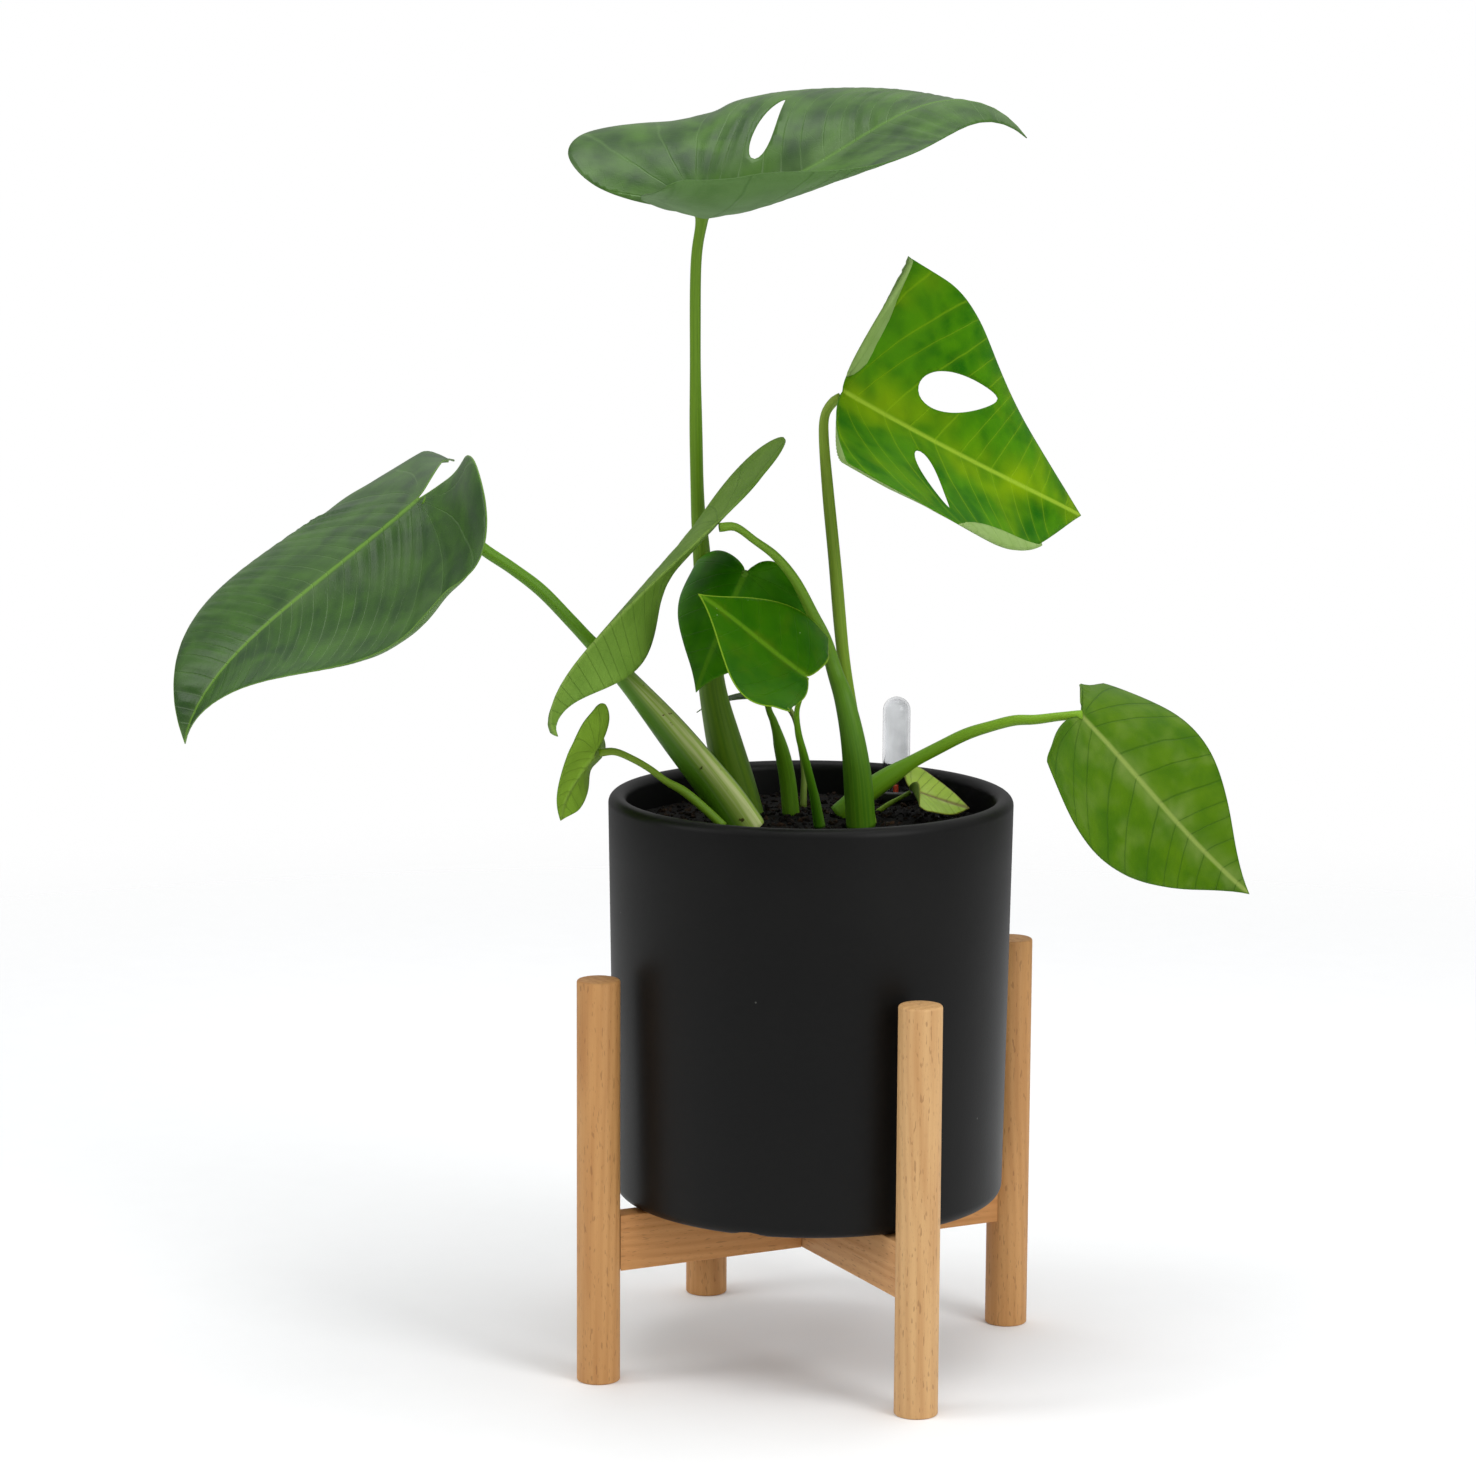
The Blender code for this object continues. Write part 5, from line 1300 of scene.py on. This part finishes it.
# Sheaths: how much of the stalk from the soil up, the side they open to, in degrees round the stalk,
# how far they stand proud of it as a share of its radius, and how pale they are.
SHEATHS = {
    "left": (0.46, 218, 0.42, 1.0),
    "top": (0.38, 20, 0.20, 0.15),
    "upper_right": (0.30, 150, 0.12, 0.10),
    "arching": (0.42, 110, 0.16, 0.12),
    "heart_back": (0.36, 20, 0.50, 0.15),
    "heart_front": (0.30, 180, 0.20, 0.10),
    "lower_right": (0.40, 130, 0.35, 0.60),
}


def make_stem(name, points, look):
    """One stalk: a juicy tube along its own line, with a sheath's raised edge towards the soil."""
    line = np.array(points, float) * MM
    line[:, :3] += np.array(CENTRE)
    path = evenly(smooth_line(line, 12), STALK_STEP)
    places, radii = path[:, :3], path[:, 3]
    ways = np.gradient(places, axis=0)
    ways /= np.linalg.norm(ways, axis=1)[:, None]
    side = np.cross(ways[-1], (0.0, -1.0, 0.0))
    side /= np.linalg.norm(side)
    sides = []
    for way in ways[::-1]:
        side = side - way * (side @ way)
        side /= np.linalg.norm(side)
        sides.append(side)
    sides = np.array(sides[::-1])
    ups = np.cross(ways, sides)
    lengths = np.r_[0, np.cumsum(np.linalg.norm(np.diff(places, axis=0), axis=1))]
    share = lengths / lengths[-1]
    part, angle, proud, pale = SHEATHS.get(name, (0.2, 90, 0.1, 0.0))
    rise = ease((share - (1 - part)) / 0.10)
    around = np.linspace(0, math.tau, STALK_SIDES, endpoint=False)
    off = np.abs((np.degrees(around) - angle + 180) % 360 - 180)
    ridge = np.exp(-((off / RIDGE_WIDTH) ** 2))
    groove = np.exp(-((off / GROOVE_WIDTH) ** 2))
    width = 1 + rise[:, None] * proud * ridge - (1 - rise[:, None]) * 0.10 * groove
    knee = 1 + 0.16 * np.exp(-((lengths / (7 * MM)) ** 2))
    wobble = 1 + 0.02 * np.sin(lengths / (9 * MM) + 2.0)
    reach = (radii * knee * wobble)[:, None] * width
    rings = (
        places[:, None] + sides[:, None] * (reach * np.cos(around))[:, :, None]
        + ups[:, None] * (reach * np.sin(around))[:, :, None]
    )
    count = len(places)
    verts = [*rings.reshape(-1, 3), places[0], places[-1]]
    faces = []
    for ring in range(count - 1):
        for k in range(STALK_SIDES):
            after = (k + 1) % STALK_SIDES
            low, high = ring * STALK_SIDES, (ring + 1) * STALK_SIDES
            faces.append((low + k, low + after, high + after, high + k))
    tip, root = count * STALK_SIDES, count * STALK_SIDES + 1
    for k in range(STALK_SIDES):
        after = (k + 1) % STALK_SIDES
        last = (count - 1) * STALK_SIDES
        faces.append((tip, after, k))
        faces.append((root, last + k, last + after))
    stem = mesh_piece(f"stem_{name}", verts, faces)
    face_outwards(stem)
    wing = (rise[:, None] * np.exp(-((off / WING_WIDTH) ** 4)) * pale).ravel()
    write_attributes(stem, {
        "round_x": np.r_[np.tile(np.cos(around), count), 0, 0],
        "round_y": np.r_[np.tile(np.sin(around), count), 0, 0],
        "down": np.r_[np.repeat(lengths / MM, STALK_SIDES), 0, lengths[-1] / MM],
        "share": np.r_[np.repeat(share, STALK_SIDES), 0, 1],
        "wing": np.r_[wing, 0, pale],
    })
    own(stem, BODY, [f"stalk_{name}"], look)


# ---------------------------------------------------------------- room
def add_camera():
    data = bpy.data.cameras.new("camera")
    data.lens = LENS
    data.sensor_width = 36.0
    data.clip_end = 20.0
    camera = bpy.data.objects.new("camera", data)
    bpy.context.scene.collection.objects.link(camera)
    turn = Matrix.Rotation(math.radians(CAMERA_TURN), 4, "Z")
    tilt = Matrix.Rotation(math.radians(90 - CAMERA_TILT), 4, "X")
    roll = Matrix.Rotation(math.radians(CAMERA_ROLL), 4, "Z")
    camera.matrix_world = Matrix.Translation(CAMERA_PLACE) @ turn @ tilt @ roll
    bpy.context.scene.camera = camera


def add_softbox(name, place, size, power):
    data = bpy.data.lights.new(name, "AREA")
    data.shape = "RECTANGLE"
    data.size, data.size_y = size
    data.energy = power
    light = bpy.data.objects.new(name, data)
    light.location = place
    light.rotation_euler = (Vector(AIM) - Vector(place)).to_track_quat("-Z", "Y").to_euler()
    bpy.context.scene.collection.objects.link(light)


def add_room():
    """A pale floor under a white sky, with three large soft lights."""
    world = bpy.data.worlds.new("studio")
    world.use_nodes = True
    tree = world.node_tree
    sky = tree.nodes["Background"]
    place = tree.nodes.new("ShaderNodeTexCoord")
    height = tree.nodes.new("ShaderNodeSeparateXYZ")
    glow = tree.nodes.new("ShaderNodeMapRange")
    seen = tree.nodes.new("ShaderNodeLightPath")
    choice = tree.nodes.new("ShaderNodeMix")
    glow.inputs["To Min"].default_value = SKY_LOW
    glow.inputs["To Max"].default_value = SKY_HIGH
    choice.inputs["B"].default_value = 1.0
    tree.links.new(place.outputs["Generated"], height.inputs["Vector"])
    tree.links.new(height.outputs["Z"], glow.inputs["Value"])
    tree.links.new(glow.outputs["Result"], choice.inputs["A"])
    either = tree.nodes.new("ShaderNodeMath")
    either.operation = "MAXIMUM"
    tree.links.new(seen.outputs["Is Camera Ray"], either.inputs[0])
    tree.links.new(seen.outputs["Is Transmission Ray"], either.inputs[1])
    tree.links.new(either.outputs["Value"], choice.inputs["Factor"])
    tree.links.new(choice.outputs["Result"], sky.inputs["Strength"])
    sky.inputs["Color"].default_value = (1.0, 1.0, 1.0, 1.0)
    bpy.context.scene.world = world
    bpy.context.scene.view_settings.view_transform = "Standard"
    bpy.ops.object.select_all(action="DESELECT")
    bpy.ops.mesh.primitive_plane_add(size=2.4 * FLOOR_FADE[1], location=(CENTRE.x, CENTRE.y, -0.05 * MM))
    floor = bpy.context.object
    floor.name = "floor"
    bpy.ops.object.transform_apply(location=True, rotation=True, scale=True)
    paper = Look("studio_floor", Roughness=0.9, Specular_IOR_Level=0.1)
    tone = paper.cloud(paper.place(), 40.0, detail=2.0)
    x, y, _ = paper.split(paper.place())
    away = paper.length(x - CENTRE.x, y - CENTRE.y)
    skin = paper.mix(tone, srgb(247, 248, 249), srgb(250, 251, 252))
    floor.data.materials.append(paper.finish(skin, Alpha=1 - away.rise(*FLOOR_FADE)))
    for name, (place, size, power) in SOFTBOXES.items():
        add_softbox(name, place, size, power)


def main():
    add_camera()
    add_room()
    wood = wood_look("beech_upright", (199, 149, 91), (174, 119, 65), None)
    pale_wood = wood_look("beech_upright_pale", (212, 170, 116), (188, 139, 87), None)
    bars = {
        "upper": wood_look("beech_bar_upper", (202, 146, 86), (176, 118, 62), 45),
        "lower": wood_look("beech_bar_lower", (206, 158, 106), (182, 130, 78), 135),
    }
    make_posts([wood, wood, wood, pale_wood])
    make_crossbars(bars)
    paint_nodes([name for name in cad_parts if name.startswith("dowel")], wood)
    make_planter(pot_look("black_glaze"))
    bed = soil_look("dark_soil", (5, 4, 3), (22, 16, 12))
    make_soil(bed, soil_look("bark_bits", (9, 6, 5), (64, 46, 31)))
    black = plastic_look("black_plastic", srgb(20, 20, 21), 0.28)
    paint_nodes(["false_bottom"], black)
    clear_finish = {"texture": 0.0005 * MM, "Transmission_Weight": 1.0, "IOR": 1.3}
    clear = plastic_look("clear_plastic", (0.84, 0.85, 0.86, 1.0), 0.0, **clear_finish)
    white = plastic_look("white_foam", srgb(226, 226, 220), 0.6)
    orange = plastic_look("orange_plastic", srgb(226, 74, 34), 0.3)
    make_gauge(black, clear, white, orange)
    for name, leaf in LEAVES.items():
        make_blade(name, leaf, PAINT[name])
    for name, points in STALKS.items():
        make_stem(name, points, stalk_look(f"stalk_skin_{name}", *GREENS[name]))


main()
